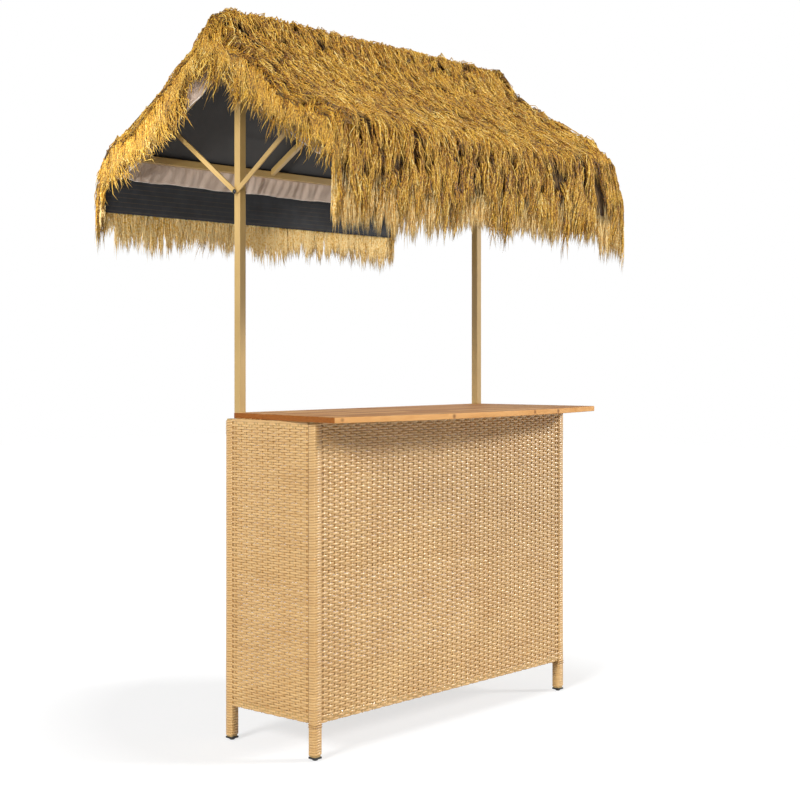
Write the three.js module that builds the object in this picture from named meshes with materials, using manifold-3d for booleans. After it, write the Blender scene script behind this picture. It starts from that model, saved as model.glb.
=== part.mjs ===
// Tiki bar hut: a wicker counter with a bow-fronted wooden top, and two posts that carry
// a gable roof frame, a cloth canopy and rolls of artificial thatch.
// Millimetres. The origin is on the ground, halfway along the counter, in the plane of the
// posts and the ridge. X runs along the counter, Y from the guests' side to the barkeeper's
// side, Z up.
import * as THREE from "three";
import { mergeVertices } from "three/addons/utils/BufferGeometryUtils.js";
import Module from "manifold-3d";

const wasm = await Module();
wasm.setup();

// Driving dimensions of the counter
const counterLength = 1298; // over the end panels
const counterFront = 379.5; // from the post plane forward to the front panel
const rearLegY = 11.3; // from the post plane back to the middle of the rear legs
const barHeight = 1050; // floor to the top of the tabletop
const panelClearance = 112; // floor to the bottom of the wicker panels
const shelfHeight = 560; // floor to the underside of the middle shelf

// Driving dimensions of the roof
const postSide = 27;
const postInset = 39; // from the end of the counter to the middle of a post
const eaveHeight = 1925; // top of the eave beams
const eaveReach = 500; // from the post plane to the middle of an eave beam
const roofRise = 307; // from the top of the eave beams to the top of the ridge beam
const braceDrop = 164; // from the top of the eave beams to the bolt on a post
const braceReach = 341; // from the post plane to the bolt on the rafter
const gableOverhang = 133.5; // from the outer side of a post to the end of the thatch

// Clearances that the pieces share
const gap = 0.3; // between pieces that seat on or in one another
const boltPlay = 0.3; // round a bolt or a stem
const overrun = 4; // by which a cutter passes the faces that it cuts

// Steel tube and strand
const legTube = 25;
const railTube = 20;
const beamTube = 25;
const rafterTube = 20;
const rafterLift = 8; // by which a rafter stands above the eave beam
const tubeWall = 1.5;
const innerCorner = 0.9; // radius inside a tube's corners
const wrapThick = 2.4; // flat wicker strand wound on a tube
const weaveThick = 5; // wicker panel
const wrapSide = legTube + 2 * (gap + wrapThick);
const ringSide = railTube + 2 * (gap + wrapThick);

// Foot cap and levelling glide
const glideRadius = 9;
const glideHeight = 5;
const glideBevel = 1.5;
const stemRadius = 3.5;
const stemLength = 29;
const capPlate = 5.2;
const capPlug = 15;

// Tabletop
const topThick = 18.5;
const topFlare = 32.7; // by which a front corner stands out past the end of the counter
const topOverhang = 113.9; // by which it stands out in front of the counter
const topBow = 69.7; // by which the middle stands in front of the corners
const postSeat = 1; // depth of the recess in which a post stands

// Shelves
const shelfThick = 20;

// Bolts
const boltRadius = 4;
const boltHeadRadius = 8;
const boltHeadHeight = 5;
const nutRadius = 7;
const nutHeight = 6.5;
const plugLength = 40;

// Braces
const braceWidth = 16;
const braceThick = 5;
const spacerRadius = 7;

// Cloth
const coverThick = 2;
const coverInset = 6; // from the strands at a gable to the edge of the cover
const beamInset = 15; // from the edge of the cover to the end of a beam
const clothThick = 1.6;
const valanceDrop = 92;
const valanceWave = 7;
const valanceFlare = 3; // by which the lower edge hangs further out
const valanceFolds = 24;
const foldSwayShare = 0.2; // by which folds are deeper in some places
const hemDrop = 110;
const hemWave = 4;
const hemTopWaveShare = 0.5;
const hemFolds = 10;
const hemInset = 7; // from the gable edge of the cover to the hem

// Thatch
const matThick = 2.5;
const ridgeRollReach = 341; // from the post plane to the end of the roll's mat
const ridgeRollThick = 95.6; // over the ridge
const ridgeTipThick = 12; // where the strands pass over the lower roll
const ridgeTipReach = 59; // by which the strands pass the end of the mat
const rollSplit = 2; // between the end of one mat and the start of the next
const edgeStep = 1; // width of the ridge roll's step up onto the lower rolls
const lowerRollThick = 30;
const skirtReach = 39; // from the eave out to the hanging end of the mat
const skirtDrop = 206; // from the eave down to the end of the mat
const fringeDrop = 82; // from the end of the mat down to the strand tips
const tipScatter = 24; // by which long and short tips differ
const tuftDepth = 4; // hollows between tufts
const gableThick = 20; // hanging strands at each gable
const gableDrop = 150; // by which they hang below the cover
const gableScatter = 24;
const gableTeeth = 22; // tufts along one slope
const gableInset = 1; // from the end of a roll to its gable strands
const endRound = 70; // length over which a roll rounds off towards its end
const thatchColumns = 44;

// Sizes that follow from those above
const tubeCorner = innerCorner + tubeWall;
const halfCounter = counterLength / 2;
const topUnder = barHeight - topThick;
const frameTop = topUnder - gap;
const capBottom = glideHeight + gap;
const capTop = capBottom + capPlate;
const legBottom = capTop + gap;
const legX = halfCounter - wrapSide / 2;
const frontLegY = wrapSide / 2 - counterFront;
const counterBack = rearLegY + wrapSide / 2;
const counterDepth = counterFront + counterBack;
const frontSpan = counterLength - 2 * (wrapSide + gap);
const sideSpan = counterDepth - 2 * (wrapSide + gap);
const sideMiddleY = (counterBack - counterFront) / 2;
const railInset = gap + wrapThick + railTube / 2;
const lowRailZ = panelClearance + railInset;
const topRailZ = frameTop - railInset;
const topCornerX = halfCounter + topFlare;
const topCornerReach = counterFront + topOverhang;
const postX = halfCounter - postInset;
const postOuter = postX + postSide / 2;
const beamHalf = beamTube / 2;
const eaveOuter = eaveReach + beamHalf;
const ridgeHeight = eaveHeight + roofRise;
const braceHeight = eaveHeight - braceDrop;
const halfRoof = postOuter + gableOverhang;
const coverLength = 2 * (halfRoof - gableInset - gableThick - coverInset);
const beamLength = coverLength - 2 * beamInset;

// Materials
const finish = (color, roughness, metalness = 0) =>
  new THREE.MeshStandardMaterial({ color, roughness, metalness });
const wicker = finish(0xd9ae6c, 0.55);
const steel = finish(0xcdb077, 0.4, 0.3);
const blackPlastic = finish(0x17181a, 0.5);
const blackBolt = finish(0x202123, 0.4, 0.6);
const hardwood = finish(0xb9824c, 0.5);
const cloth = finish(0x9d8775, 0.85);
const matWeave = finish(0x26272b, 0.85);
const thatch = finish(0xc9962f, 0.9);

const hut = new THREE.Group();

function add(name, geometry, material, parent = hut) {
  const mesh = new THREE.Mesh(geometry, material);
  mesh.name = name;
  parent.add(mesh);
  return mesh;
}

// Solids for cuts and joins
function solid(geometry) {
  const bare = geometry.index ? geometry.toNonIndexed() : geometry.clone();
  bare.deleteAttribute("normal");
  bare.deleteAttribute("uv");
  const merged = mergeVertices(bare);
  return new wasm.Manifold(
    new wasm.Mesh({
      numProp: 3,
      vertProperties: merged.attributes.position.array,
      triVerts: new Uint32Array(merged.index.array),
    }),
  );
}

function geometryOf(manifold) {
  const mesh = manifold.getMesh();
  return new THREE.BufferGeometry()
    .setAttribute("position", new THREE.BufferAttribute(mesh.vertProperties, 3))
    .setIndex(new THREE.BufferAttribute(mesh.triVerts, 1));
}

// Directions for extrusions: where an outline's x, y and its extrusion go
const alongX = new THREE.Matrix4().makeBasis(
  new THREE.Vector3(0, 1, 0),
  new THREE.Vector3(0, 0, 1),
  new THREE.Vector3(1, 0, 0),
);
const alongY = new THREE.Matrix4().makeBasis(
  new THREE.Vector3(0, 0, 1),
  new THREE.Vector3(1, 0, 0),
  new THREE.Vector3(0, 1, 0),
);

function extrude(shape, length, curveSegments = 1) {
  const options = { depth: length, bevelEnabled: false, curveSegments };
  return new THREE.ExtrudeGeometry(shape, options).translate(0, 0, -length / 2);
}

function outline(points, holes = []) {
  const shape = new THREE.Shape(points.map(([x, y]) => new THREE.Vector2(x, y)));
  shape.holes.push(...holes);
  return shape;
}

function roundedSquare(side, radius, Kind = THREE.Shape) {
  const flat = side / 2 - radius;
  const shape = new Kind();
  shape.absarc(flat, flat, radius, 0, Math.PI / 2);
  shape.absarc(-flat, flat, radius, Math.PI / 2, Math.PI);
  shape.absarc(-flat, -flat, radius, Math.PI, (3 * Math.PI) / 2);
  shape.absarc(flat, -flat, radius, (3 * Math.PI) / 2, 2 * Math.PI);
  return shape;
}

function squareTube(side, length) {
  const shape = roundedSquare(side, tubeCorner);
  shape.holes.push(roundedSquare(side - 2 * tubeWall, innerCorner, THREE.Path));
  return extrude(shape, length);
}

function disc(radius, length, sides = 16) {
  return new THREE.CylinderGeometry(radius, radius, length, sides).rotateX(Math.PI / 2);
}

function turned(profile, sides = 12) {
  return new THREE.LatheGeometry(
    profile.map(([r, z]) => new THREE.Vector2(r, z)),
    sides,
  ).rotateX(Math.PI / 2);
}

// A closed skin between two grids of points, grid[column][row]
function shell(outer, inner) {
  const columns = outer.length - 1;
  const rows = outer[0].length - 1;
  const position = [];
  const index = [];
  const at = (grid, i, j) => (grid * (columns + 1) + i) * (rows + 1) + j;
  for (const grid of [outer, inner])
    for (const column of grid) for (const p of column) position.push(p.x, p.y, p.z);
  const quad = (a, b, c, d) => index.push(a, b, c, a, c, d);
  for (let i = 0; i < columns; i++)
    for (let j = 0; j < rows; j++) {
      quad(at(0, i, j), at(0, i + 1, j), at(0, i + 1, j + 1), at(0, i, j + 1));
      quad(at(1, i, j), at(1, i, j + 1), at(1, i + 1, j + 1), at(1, i + 1, j));
    }
  for (let i = 0; i < columns; i++) {
    quad(at(0, i + 1, 0), at(0, i, 0), at(1, i, 0), at(1, i + 1, 0));
    quad(at(0, i, rows), at(0, i + 1, rows), at(1, i + 1, rows), at(1, i, rows));
  }
  for (let j = 0; j < rows; j++) {
    quad(at(0, 0, j), at(0, 0, j + 1), at(1, 0, j + 1), at(1, 0, j));
    quad(at(0, columns, j + 1), at(0, columns, j), at(1, columns, j), at(1, columns, j + 1));
  }
  const geometry = new THREE.BufferGeometry()
    .setAttribute("position", new THREE.Float32BufferAttribute(position, 3))
    .setIndex(index);
  if (solid(geometry).volume() < 0) {
    for (let k = 0; k < index.length; k += 3)
      [index[k + 1], index[k + 2]] = [index[k + 2], index[k + 1]];
    geometry.setIndex(index);
  }
  return geometry;
}

// Legs, their wicker wraps, foot caps and levelling glides
const legHeight = frameTop - legBottom;
const legs = [
  ["front_left", -legX, frontLegY],
  ["front_right", legX, frontLegY],
  ["rear_left", -legX, rearLegY],
  ["rear_right", legX, rearLegY],
];

function legWrap() {
  const shape = roundedSquare(wrapSide, tubeCorner + wrapThick);
  shape.holes.push(roundedSquare(legTube + 2 * gap, tubeCorner + gap, THREE.Path));
  return extrude(shape, legHeight);
}

function footCap() {
  const plugSide = legTube - 2 * (tubeWall + gap);
  const plate = extrude(roundedSquare(wrapSide, tubeCorner), capPlate);
  const plug = extrude(roundedSquare(plugSide, innerCorner), capPlate + capPlug);
  plate.translate(0, 0, capBottom + capPlate / 2);
  plug.translate(0, 0, capBottom + (capPlate + capPlug) / 2);
  const bore = disc(stemRadius + boltPlay, 2 * (capPlate + capPlug + overrun));
  bore.translate(0, 0, capBottom + capPlate);
  return geometryOf(solid(plate).add(solid(plug)).subtract(solid(bore)));
}

const glideProfile = [
  [0, 0],
  [glideRadius - glideBevel, 0],
  [glideRadius, glideBevel],
  [glideRadius, glideHeight - glideBevel],
  [glideRadius - glideBevel, glideHeight],
  [stemRadius, glideHeight],
  [stemRadius, glideHeight + stemLength],
  [0, glideHeight + stemLength],
];

for (const [place, x, y] of legs) {
  const corner = new THREE.Group();
  corner.position.set(x, y, 0);
  hut.add(corner);
  const middle = legBottom + legHeight / 2;
  add(`${place}_leg`, squareTube(legTube, legHeight), steel, corner).position.z = middle;
  add(`${place}_leg_wrap`, legWrap(), wicker, corner).position.z = middle;
  add(`${place}_foot_cap`, footCap(), blackPlastic, corner);
  add(`${place}_glide`, turned(glideProfile), blackPlastic, corner);
}

// Woven panels on their rails: the weave runs between two rails and is wrapped round both
function panelOutline() {
  const low = panelClearance;
  const high = frameTop;
  const eye = (z) => {
    const near = wrapThick;
    const far = ringSide - wrapThick;
    const path = new THREE.Path();
    path.moveTo(near, z + near).lineTo(near, z + far);
    path.lineTo(far, z + far).lineTo(far, z + near);
    path.closePath();
    return path;
  };
  return outline(
    [
      [0, low],
      [ringSide, low],
      [ringSide, low + ringSide],
      [weaveThick, low + ringSide],
      [weaveThick, high - ringSide],
      [ringSide, high - ringSide],
      [ringSide, high],
      [0, high],
    ],
    [eye(low), eye(high - ringSide)],
  );
}

function panel(name, span, x, y, turn) {
  const group = new THREE.Group();
  group.position.set(x, y, 0);
  group.rotation.z = turn;
  hut.add(group);
  const weave = extrude(panelOutline(), span).applyMatrix4(alongX);
  add(`${name}_panel`, weave, wicker, group);
  for (const [level, z] of [
    ["bottom", lowRailZ],
    ["top", topRailZ],
  ]) {
    const rail = squareTube(railTube, span).applyMatrix4(alongX);
    add(`${name}_${level}_rail`, rail, steel, group).position.set(0, railInset, z);
  }
}

panel("front", frontSpan, 0, -counterFront, 0);
panel("left", sideSpan, -halfCounter, sideMiddleY, -Math.PI / 2);
panel("right", sideSpan, halfCounter, sideMiddleY, Math.PI / 2);

// Rear rails. The top one lies under the posts and takes their bolts
const holeRadius = boltRadius + boltPlay;

function drilled(geometry, places, length) {
  let body = solid(geometry);
  for (const [x, y, z] of places)
    body = body.subtract(solid(disc(holeRadius, length).translate(x, y, z)));
  return geometryOf(body);
}

const boltPlaces = [
  [-postX, 0, 0],
  [postX, 0, 0],
];
const rearTop = squareTube(railTube, frontSpan).applyMatrix4(alongX);
const rearTopZ = frameTop - railTube / 2;
add(
  "rear_top_rail",
  drilled(rearTop, boltPlaces, railTube + 2 * overrun),
  steel,
).position.set(0, 0, rearTopZ);
add(
  "rear_bottom_rail",
  squareTube(railTube, frontSpan).applyMatrix4(alongX),
  steel,
).position.set(0, rearLegY, panelClearance + ringSide - railTube / 2);

// Shelves: woven boards notched round the legs
const shelfX = halfCounter - weaveThick - gap;
const notchX = frontSpan / 2;
const shelfFront = weaveThick + gap - counterFront;
const frontNotch = wrapSide + gap - counterFront;
const rearNotch = counterBack - wrapSide - gap;

function shelfBoard() {
  return extrude(
    outline([
      [-notchX, shelfFront],
      [notchX, shelfFront],
      [notchX, frontNotch],
      [shelfX, frontNotch],
      [shelfX, rearNotch],
      [notchX, rearNotch],
      [notchX, counterBack],
      [-notchX, counterBack],
      [-notchX, rearNotch],
      [-shelfX, rearNotch],
      [-shelfX, frontNotch],
      [-notchX, frontNotch],
    ]),
    shelfThick,
  );
}

const lowShelfZ = panelClearance + ringSide + gap;
add("lower_shelf", shelfBoard(), wicker).position.z = lowShelfZ + shelfThick / 2;
add("middle_shelf", shelfBoard(), wicker).position.z = shelfHeight + shelfThick / 2;
for (const [side, sign] of [
  ["left", -1],
  ["right", 1],
]) {
  const rail = squareTube(railTube, sideSpan).applyMatrix4(alongY);
  add(`${side}_shelf_rail`, rail, steel).position.set(
    sign * (shelfX - railTube / 2),
    sideMiddleY,
    shelfHeight - gap - railTube / 2,
  );
}

// Tabletop: straight back edge, flared ends and a bowed front, and a shallow seat for each post
function topOutline() {
  const radius = (topCornerX * topCornerX + topBow * topBow) / (2 * topBow);
  const sweep = Math.asin(topCornerX / radius);
  const shape = new THREE.Shape();
  shape.moveTo(postOuter, postSide / 2);
  shape.lineTo(-postOuter, postSide / 2);
  shape.lineTo(-topCornerX, -topCornerReach);
  shape.absarc(
    0,
    radius - topCornerReach - topBow,
    radius,
    -Math.PI / 2 - sweep,
    -Math.PI / 2 + sweep,
  );
  shape.closePath();
  return shape;
}

function tabletop() {
  const board = extrude(topOutline(), topThick, 12);
  let cut = solid(drilled(board, boltPlaces, topThick + 2 * overrun));
  const seatSide = postSide + gap + overrun;
  for (const sign of [-1, 1]) {
    const seat = new THREE.BoxGeometry(seatSide, seatSide, postSeat + overrun);
    seat.translate(
      sign * (postOuter + overrun - seatSide / 2),
      postSide / 2 + overrun - seatSide / 2,
      topThick / 2 + (overrun - postSeat) / 2,
    );
    cut = cut.subtract(solid(seat));
  }
  return geometryOf(cut);
}

add("tabletop", tabletop(), hardwood).position.z = topUnder + topThick / 2;

// Posts, with the plug and bolt that hold each one on the top
const postBottom = barHeight - postSeat + gap;
const postTop = ridgeHeight - beamTube - gap;
const postLength = postTop - postBottom;

function post() {
  const tube = solid(squareTube(postSide, postLength));
  const hole = disc(holeRadius, postSide + 2 * overrun).applyMatrix4(alongX);
  hole.translate(0, 0, braceHeight - (postTop + postBottom) / 2);
  return geometryOf(tube.subtract(solid(hole)));
}

function postPlug() {
  const plugSide = postSide - 2 * (tubeWall + gap);
  const headTop = frameTop - railTube - gap;
  const shankLength = postBottom + plugLength / 2 - headTop;
  const head = disc(boltHeadRadius, boltHeadHeight, 12);
  head.translate(0, 0, headTop - boltHeadHeight / 2);
  const shank = disc(boltRadius, shankLength + boltHeadHeight / 2);
  shank.translate(0, 0, headTop + shankLength / 2 - boltHeadHeight / 4);
  const plug = extrude(roundedSquare(plugSide, innerCorner), plugLength);
  plug.translate(0, 0, postBottom + plugLength / 2);
  return geometryOf(solid(head).add(solid(shank)).add(solid(plug)));
}

for (const [side, sign] of [
  ["left", -1],
  ["right", 1],
]) {
  add(`${side}_post`, post(), steel).position.set(sign * postX, 0, (postTop + postBottom) / 2);
  add(`${side}_post_plug`, postPlug(), blackBolt).position.x = sign * postX;
}

// Ridge beam on the posts, and the two eave beams
const beam = () => squareTube(beamTube, beamLength).applyMatrix4(alongX);
add("ridge_beam", beam(), steel).position.z = ridgeHeight - beamHalf;
add("front_eave_beam", beam(), steel).position.set(0, -eaveReach, eaveHeight - beamHalf);
add("back_eave_beam", beam(), steel).position.set(0, eaveReach, eaveHeight - beamHalf);

// Rafters, from the side of the ridge beam to the side of an eave beam
const rafterRun = eaveReach - 2 * beamHalf;
const rafterFall = (ridgeHeight - eaveHeight - rafterLift) / rafterRun;
const rafterPitch = Math.atan(rafterFall);
const rafterRise = rafterTube / 2 / Math.cos(rafterPitch);
const rafterLine = (y) => ridgeHeight - rafterRise - rafterFall * (y - beamHalf);

function rafter(sign) {
  const along = new THREE.Vector3(0, sign * Math.cos(rafterPitch), -Math.sin(rafterPitch));
  const across = new THREE.Vector3(1, 0, 0);
  const up = new THREE.Vector3().crossVectors(along, across);
  const tube = squareTube(rafterTube, rafterRun / Math.cos(rafterPitch) + 2 * rafterTube);
  tube.applyMatrix4(new THREE.Matrix4().makeBasis(across, up, along));
  tube.translate(0, (sign * eaveReach) / 2, rafterLine(eaveReach / 2));
  const clear = new THREE.BoxGeometry(2 * rafterTube, rafterRun - 2 * gap, ridgeHeight);
  clear.translate(0, (sign * eaveReach) / 2, rafterLine(eaveReach / 2));
  return geometryOf(solid(tube).intersect(solid(clear)));
}

const endRafterX = postOuter - rafterTube / 2;
for (const [place, x] of [
  ["left", -endRafterX],
  ["middle", 0],
  ["right", endRafterX],
])
  for (const [slope, sign] of [
    ["front", -1],
    ["back", 1],
  ])
    add(`${place}_${slope}_rafter`, rafter(sign), steel).position.x = x;

// Braces: flat bars from a bolt on the post to the side of a rafter. The front one lies on
// the post, and the back one lies on it and has a spacer at the rafter
const braceRise = rafterLine(braceReach) - braceHeight;
const braceLength = Math.hypot(braceReach, braceRise);

function braceBar() {
  const half = braceWidth / 2;
  const shape = new THREE.Shape();
  shape.moveTo(0, -half);
  shape.absarc(braceLength, 0, half, -Math.PI / 2, Math.PI / 2);
  shape.absarc(0, 0, half, Math.PI / 2, (3 * Math.PI) / 2);
  return extrude(shape, braceThick, 6);
}

function brace(slope, side) {
  const layer = slope > 0 ? braceThick + gap : 0;
  const middle = layer + braceThick / 2;
  let body = solid(braceBar().translate(0, 0, middle));
  if (layer > 0)
    body = body.add(solid(disc(spacerRadius, middle).translate(braceLength, 0, middle / 2)));
  const ends = [
    [0, 0, middle],
    [braceLength, 0, middle],
  ];
  const along = new THREE.Vector3(0, slope * braceReach, braceRise).normalize();
  const out = new THREE.Vector3(side, 0, 0);
  const across = new THREE.Vector3().crossVectors(out, along);
  return drilled(geometryOf(body), ends, 2 * (layer + braceThick + overrun))
    .applyMatrix4(new THREE.Matrix4().makeBasis(along, across, out))
    .translate(side * (postOuter + gap), 0, braceHeight);
}

// Bolt through both braces and the post: domed head outside, nut inside
function braceBolt() {
  const headBase = 2 * (braceThick + gap) + gap;
  const nutFace = -postSide - gap;
  return turned(
    [
      [0, nutFace - nutHeight],
      [nutRadius, nutFace - nutHeight],
      [nutRadius, nutFace],
      [boltRadius, nutFace],
      [boltRadius, headBase],
      [boltHeadRadius, headBase],
      [boltHeadRadius * Math.cos(Math.PI / 6), headBase + boltHeadHeight / 2],
      [boltHeadRadius / 2, headBase + (boltHeadHeight * 7) / 8],
      [0, headBase + boltHeadHeight],
    ],
    12,
  );
}

for (const [side, sign] of [
  ["left", -1],
  ["right", 1],
]) {
  add(`${side}_front_brace`, brace(-1, sign), steel);
  add(`${side}_back_brace`, brace(1, sign), steel);
  const bolt = add(`${side}_brace_bolt`, braceBolt(), blackBolt);
  bolt.position.set(sign * postOuter, 0, braceHeight);
  bolt.rotation.y = (sign * Math.PI) / 2;
}

// Canopy cover: cloth stretched over the ridge beam and the eave beams, with a hem sewn
// under each gable edge
const coverEdge = eaveOuter + gap;
const coverFall = (ridgeHeight - eaveHeight) / (coverEdge - beamHalf);
const coverUnder = (y) =>
  ridgeHeight + gap - coverFall * Math.max(Math.abs(y) - beamHalf, 0);
const coverTop = (y) => coverUnder(y) + coverThick;

function coverSheet() {
  const breaks = [-coverEdge, -beamHalf, beamHalf, coverEdge];
  const under = breaks.map((y) => [y, coverUnder(y)]);
  const top = breaks.map((y) => [y, coverTop(y)]).reverse();
  return extrude(outline([...under, ...top]), coverLength).applyMatrix4(alongX);
}

// A strip of cloth hung from a line, gathered into folds that open towards its lower edge
function hungStrip({ line, side, drop, wave, topWaveShare, flare, folds, steps, rows }) {
  const fold = (share) => {
    const sway = 1 - foldSwayShare + foldSwayShare * Math.sin(5 * share);
    return sway * Math.sin(2 * Math.PI * folds * share);
  };
  const grid = (face) => {
    const columns = [];
    for (let i = 0; i <= folds * steps; i++) {
      const share = i / (folds * steps);
      const column = [];
      for (let j = 0; j <= rows; j++) {
        const down = j / rows;
        const open = topWaveShare + (1 - topWaveShare) * down * down;
        const off = wave * open * fold(share) + flare * down + (face * clothThick) / 2;
        const p = line(share).addScaledVector(side, off);
        p.z -= drop * down;
        column.push(p);
      }
      columns.push(column);
    }
    return columns;
  };
  return shell(grid(1), grid(-1));
}

function gableHem(sign) {
  const reach = coverEdge - clothThick;
  return hungStrip({
    line: (share) => {
      const y = reach * (2 * share - 1);
      return new THREE.Vector3(
        sign * (coverLength / 2 - hemInset),
        y,
        coverUnder(y) + coverThick / 2,
      );
    },
    side: new THREE.Vector3(sign, 0, 0),
    drop: hemDrop,
    wave: hemWave,
    topWaveShare: hemTopWaveShare,
    flare: 0,
    folds: hemFolds,
    steps: 4,
    rows: 2,
  });
}

add(
  "canopy_cover",
  geometryOf(solid(coverSheet()).add(solid(gableHem(-1))).add(solid(gableHem(1)))),
  cloth,
);

for (const [slope, sign] of [
  ["front", -1],
  ["back", 1],
])
  add(
    `${slope}_valance`,
    hungStrip({
      line: (share) =>
        new THREE.Vector3(
          (coverLength / 2) * (2 * share - 1),
          sign * (coverEdge + gap + clothThick / 2),
          coverTop(coverEdge),
        ),
      side: new THREE.Vector3(0, sign, 0),
      drop: valanceDrop,
      wave: valanceWave,
      topWaveShare: 0,
      flare: valanceFlare,
      folds: valanceFolds,
      steps: 4,
      rows: 2,
    }),
    cloth,
  );

// Backing mats. The ridge roll's mat lies over the ridge; each lower mat starts at its end,
// runs down the slope and hangs past the eave
const matBed = (y) => coverTop(y) + gap;

function ridgeMat() {
  const breaks = [-ridgeRollReach, -beamHalf, beamHalf, ridgeRollReach];
  const under = breaks.map((y) => [y, matBed(y)]);
  const top = breaks.map((y) => [y, matBed(y) + matThick]).reverse();
  return extrude(outline([...under, ...top]), coverLength).applyMatrix4(alongX);
}

add("ridge_mat", ridgeMat(), matWeave);

const lowerStart = ridgeRollReach + rollSplit;
const eaveCorner = [coverEdge + clothThick + 3 * gap, matBed(coverEdge)];
const skirtShares = [
  [0.45, 0.11],
  [0.72, 0.33],
  [0.9, 0.62],
  [1, 1],
];
const skirtPath = skirtShares.map(([out, down]) => [
  coverEdge + skirtReach * out,
  matBed(coverEdge) - skirtDrop * down,
]);

// Moves a path sideways, to the left of its direction, with mitred corners
function offsetPath(points, distances) {
  const path = points.map(([y, z]) => new THREE.Vector2(y, z));
  const normals = path.slice(1).map((p, k) => {
    const along = p.clone().sub(path[k]).normalize();
    return new THREE.Vector2(-along.y, along.x);
  });
  return path.map((p, k) => {
    const before = normals[Math.max(k - 1, 0)];
    const after = normals[Math.min(k, normals.length - 1)];
    const mitre = before.clone().add(after).normalize();
    return p.addScaledVector(mitre, distances[k] / mitre.dot(after)).toArray();
  });
}

const matStart = [lowerStart, matBed(lowerStart)];
const matPath = [matStart, eaveCorner, ...skirtPath];
const lowerBed = (y) =>
  THREE.MathUtils.mapLinear(y, matStart[0], eaveCorner[0], matStart[1], eaveCorner[1]);

function lowerMat(sign) {
  const outer = offsetPath(matPath, matPath.map(() => matThick));
  const points = [...matPath, ...outer.reverse()].map(([y, z]) => [sign * y, z]);
  return extrude(outline(points), coverLength).applyMatrix4(alongX);
}

add("front_mat", lowerMat(-1), matWeave);
add("back_mat", lowerMat(1), matWeave);

// Thatch. Tufts and tips vary from column to column by these waves
const tuft = (i, j) => (Math.sin(12.9 * i + 78.2 * j) + Math.sin(4.1 * i - 2.7 * j)) / 2;
const tip = (i) => (i % 2 ? 0.5 : -0.5) + tuft(i, 3) / 2;
const hollow = (i, j) => (tuftDepth * (1 + tuft(i, j))) / 2;
const columnX = (i) => halfRoof * ((2 * i) / thatchColumns - 1);

// Lower rolls: thickness at each station of the slope and the skirt, as shares
const slopeStationShares = [0, 0.33, 0.68, 1];
const slopeThickShares = [0.15, 0.5, 0.8, 1];
const skirtThickShares = [1.03, 0.95, 0.9, 0.8];
const tipThickShare = 0.25;
const endDropShare = 0.35;
const slopeRun = eaveCorner[0] - lowerStart;
const slopeSlant = Math.cos(Math.atan(coverFall));

// Top of a lower roll near its start, where the ridge roll's strands lie on it
function lowerTop(y) {
  const share = (y - lowerStart) / slopeRun;
  const thickShare = THREE.MathUtils.mapLinear(
    share,
    slopeStationShares[0],
    slopeStationShares[1],
    slopeThickShares[0],
    slopeThickShares[1],
  );
  return lowerBed(y) + (matThick + gap + lowerRollThick * thickShare) / slopeSlant;
}

// The rolls round off towards both ends
function endDrop(i) {
  const near = Math.max(1 - (halfRoof - Math.abs(columnX(i))) / endRound, 0);
  return 1 - endDropShare * near * near;
}

function lowerSections(i) {
  const slope = slopeStationShares.slice(0, -1).map((share) => {
    const y = lowerStart + slopeRun * share;
    return [y, lowerBed(y)];
  });
  const path = [...slope, eaveCorner, ...skirtPath];
  const lift = matThick + gap;
  const inner = offsetPath(path, path.map(() => lift));
  const shares = [...slopeThickShares, ...skirtThickShares];
  const outer = offsetPath(
    path,
    shares.map((share, j) => lift + share * (lowerRollThick * endDrop(i) - hollow(i, j))),
  );
  const end = skirtPath[skirtPath.length - 1];
  const reach = fringeDrop + tipScatter * tip(i);
  inner.push([end[0] - lift, end[1] - reach]);
  outer.push([end[0] - lift + lowerRollThick * tipThickShare, end[1] - reach]);
  return { inner, outer };
}

function rollShell(sections, sign) {
  const grid = (face) => {
    const columns = [];
    for (let i = 0; i <= thatchColumns; i++)
      columns.push(
        sections(i)[face].map(([y, z]) => new THREE.Vector3(columnX(i), sign * y, z)),
      );
    return columns;
  };
  return shell(grid("outer"), grid("inner"));
}

// Hanging strands at a gable: a slice with a ragged lower edge, at both ends of a roll
const coreStartShare = 0.1;
const gableLowShares = [
  [0, 0.72],
  [0.18, 0.88],
  [0.36, 1.08],
  [0.6, 1],
  [1, 0.86],
];

function ragged(from, to, low) {
  const points = [];
  for (let k = 0; k <= gableTeeth; k++) {
    const y = from + ((to - from) * k) / gableTeeth;
    points.push([y, low(y) + gableScatter * (k % 2 ? 0.5 : -0.5) * (1 + tuft(k, 5) / 2)]);
  }
  return points;
}

function gableSlices(points, sign) {
  const shape = outline(points.map(([y, z]) => [sign * y, z]));
  const slice = () => extrude(shape, gableThick).applyMatrix4(alongX);
  const x = halfRoof - gableInset - gableThick / 2;
  return solid(slice().translate(-x, 0, 0)).add(solid(slice().translate(x, 0, 0)));
}

function gableLow(y) {
  const share = Math.abs(y) / coverEdge;
  const k = Math.max(gableLowShares.findIndex(([end]) => end >= share), 1);
  const [start, dropStart] = gableLowShares[k - 1];
  const [end, dropEnd] = gableLowShares[k];
  return coverTop(y) - gableDrop * THREE.MathUtils.mapLinear(share, start, end, dropStart, dropEnd);
}

function lowerRoll(sign) {
  const body = solid(rollShell(lowerSections, sign));
  const { inner, outer } = lowerSections(0);
  const core = outer.slice(0, -1).map(([y, z], j) => [
    (y + inner[j][0]) / 2,
    (z + inner[j][1]) / 2,
  ]);
  core[0] = core[0].map((v, k) => THREE.MathUtils.lerp(v, core[1][k], coreStartShare));
  const hang = ragged(coverEdge - gableThick, lowerStart, gableLow);
  const heel = skirtPath.slice(1).reverse().map(([y, z]) => [y - gableThick, z]);
  return geometryOf(body.add(gableSlices([...core, ...heel, ...hang], sign)));
}

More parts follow.
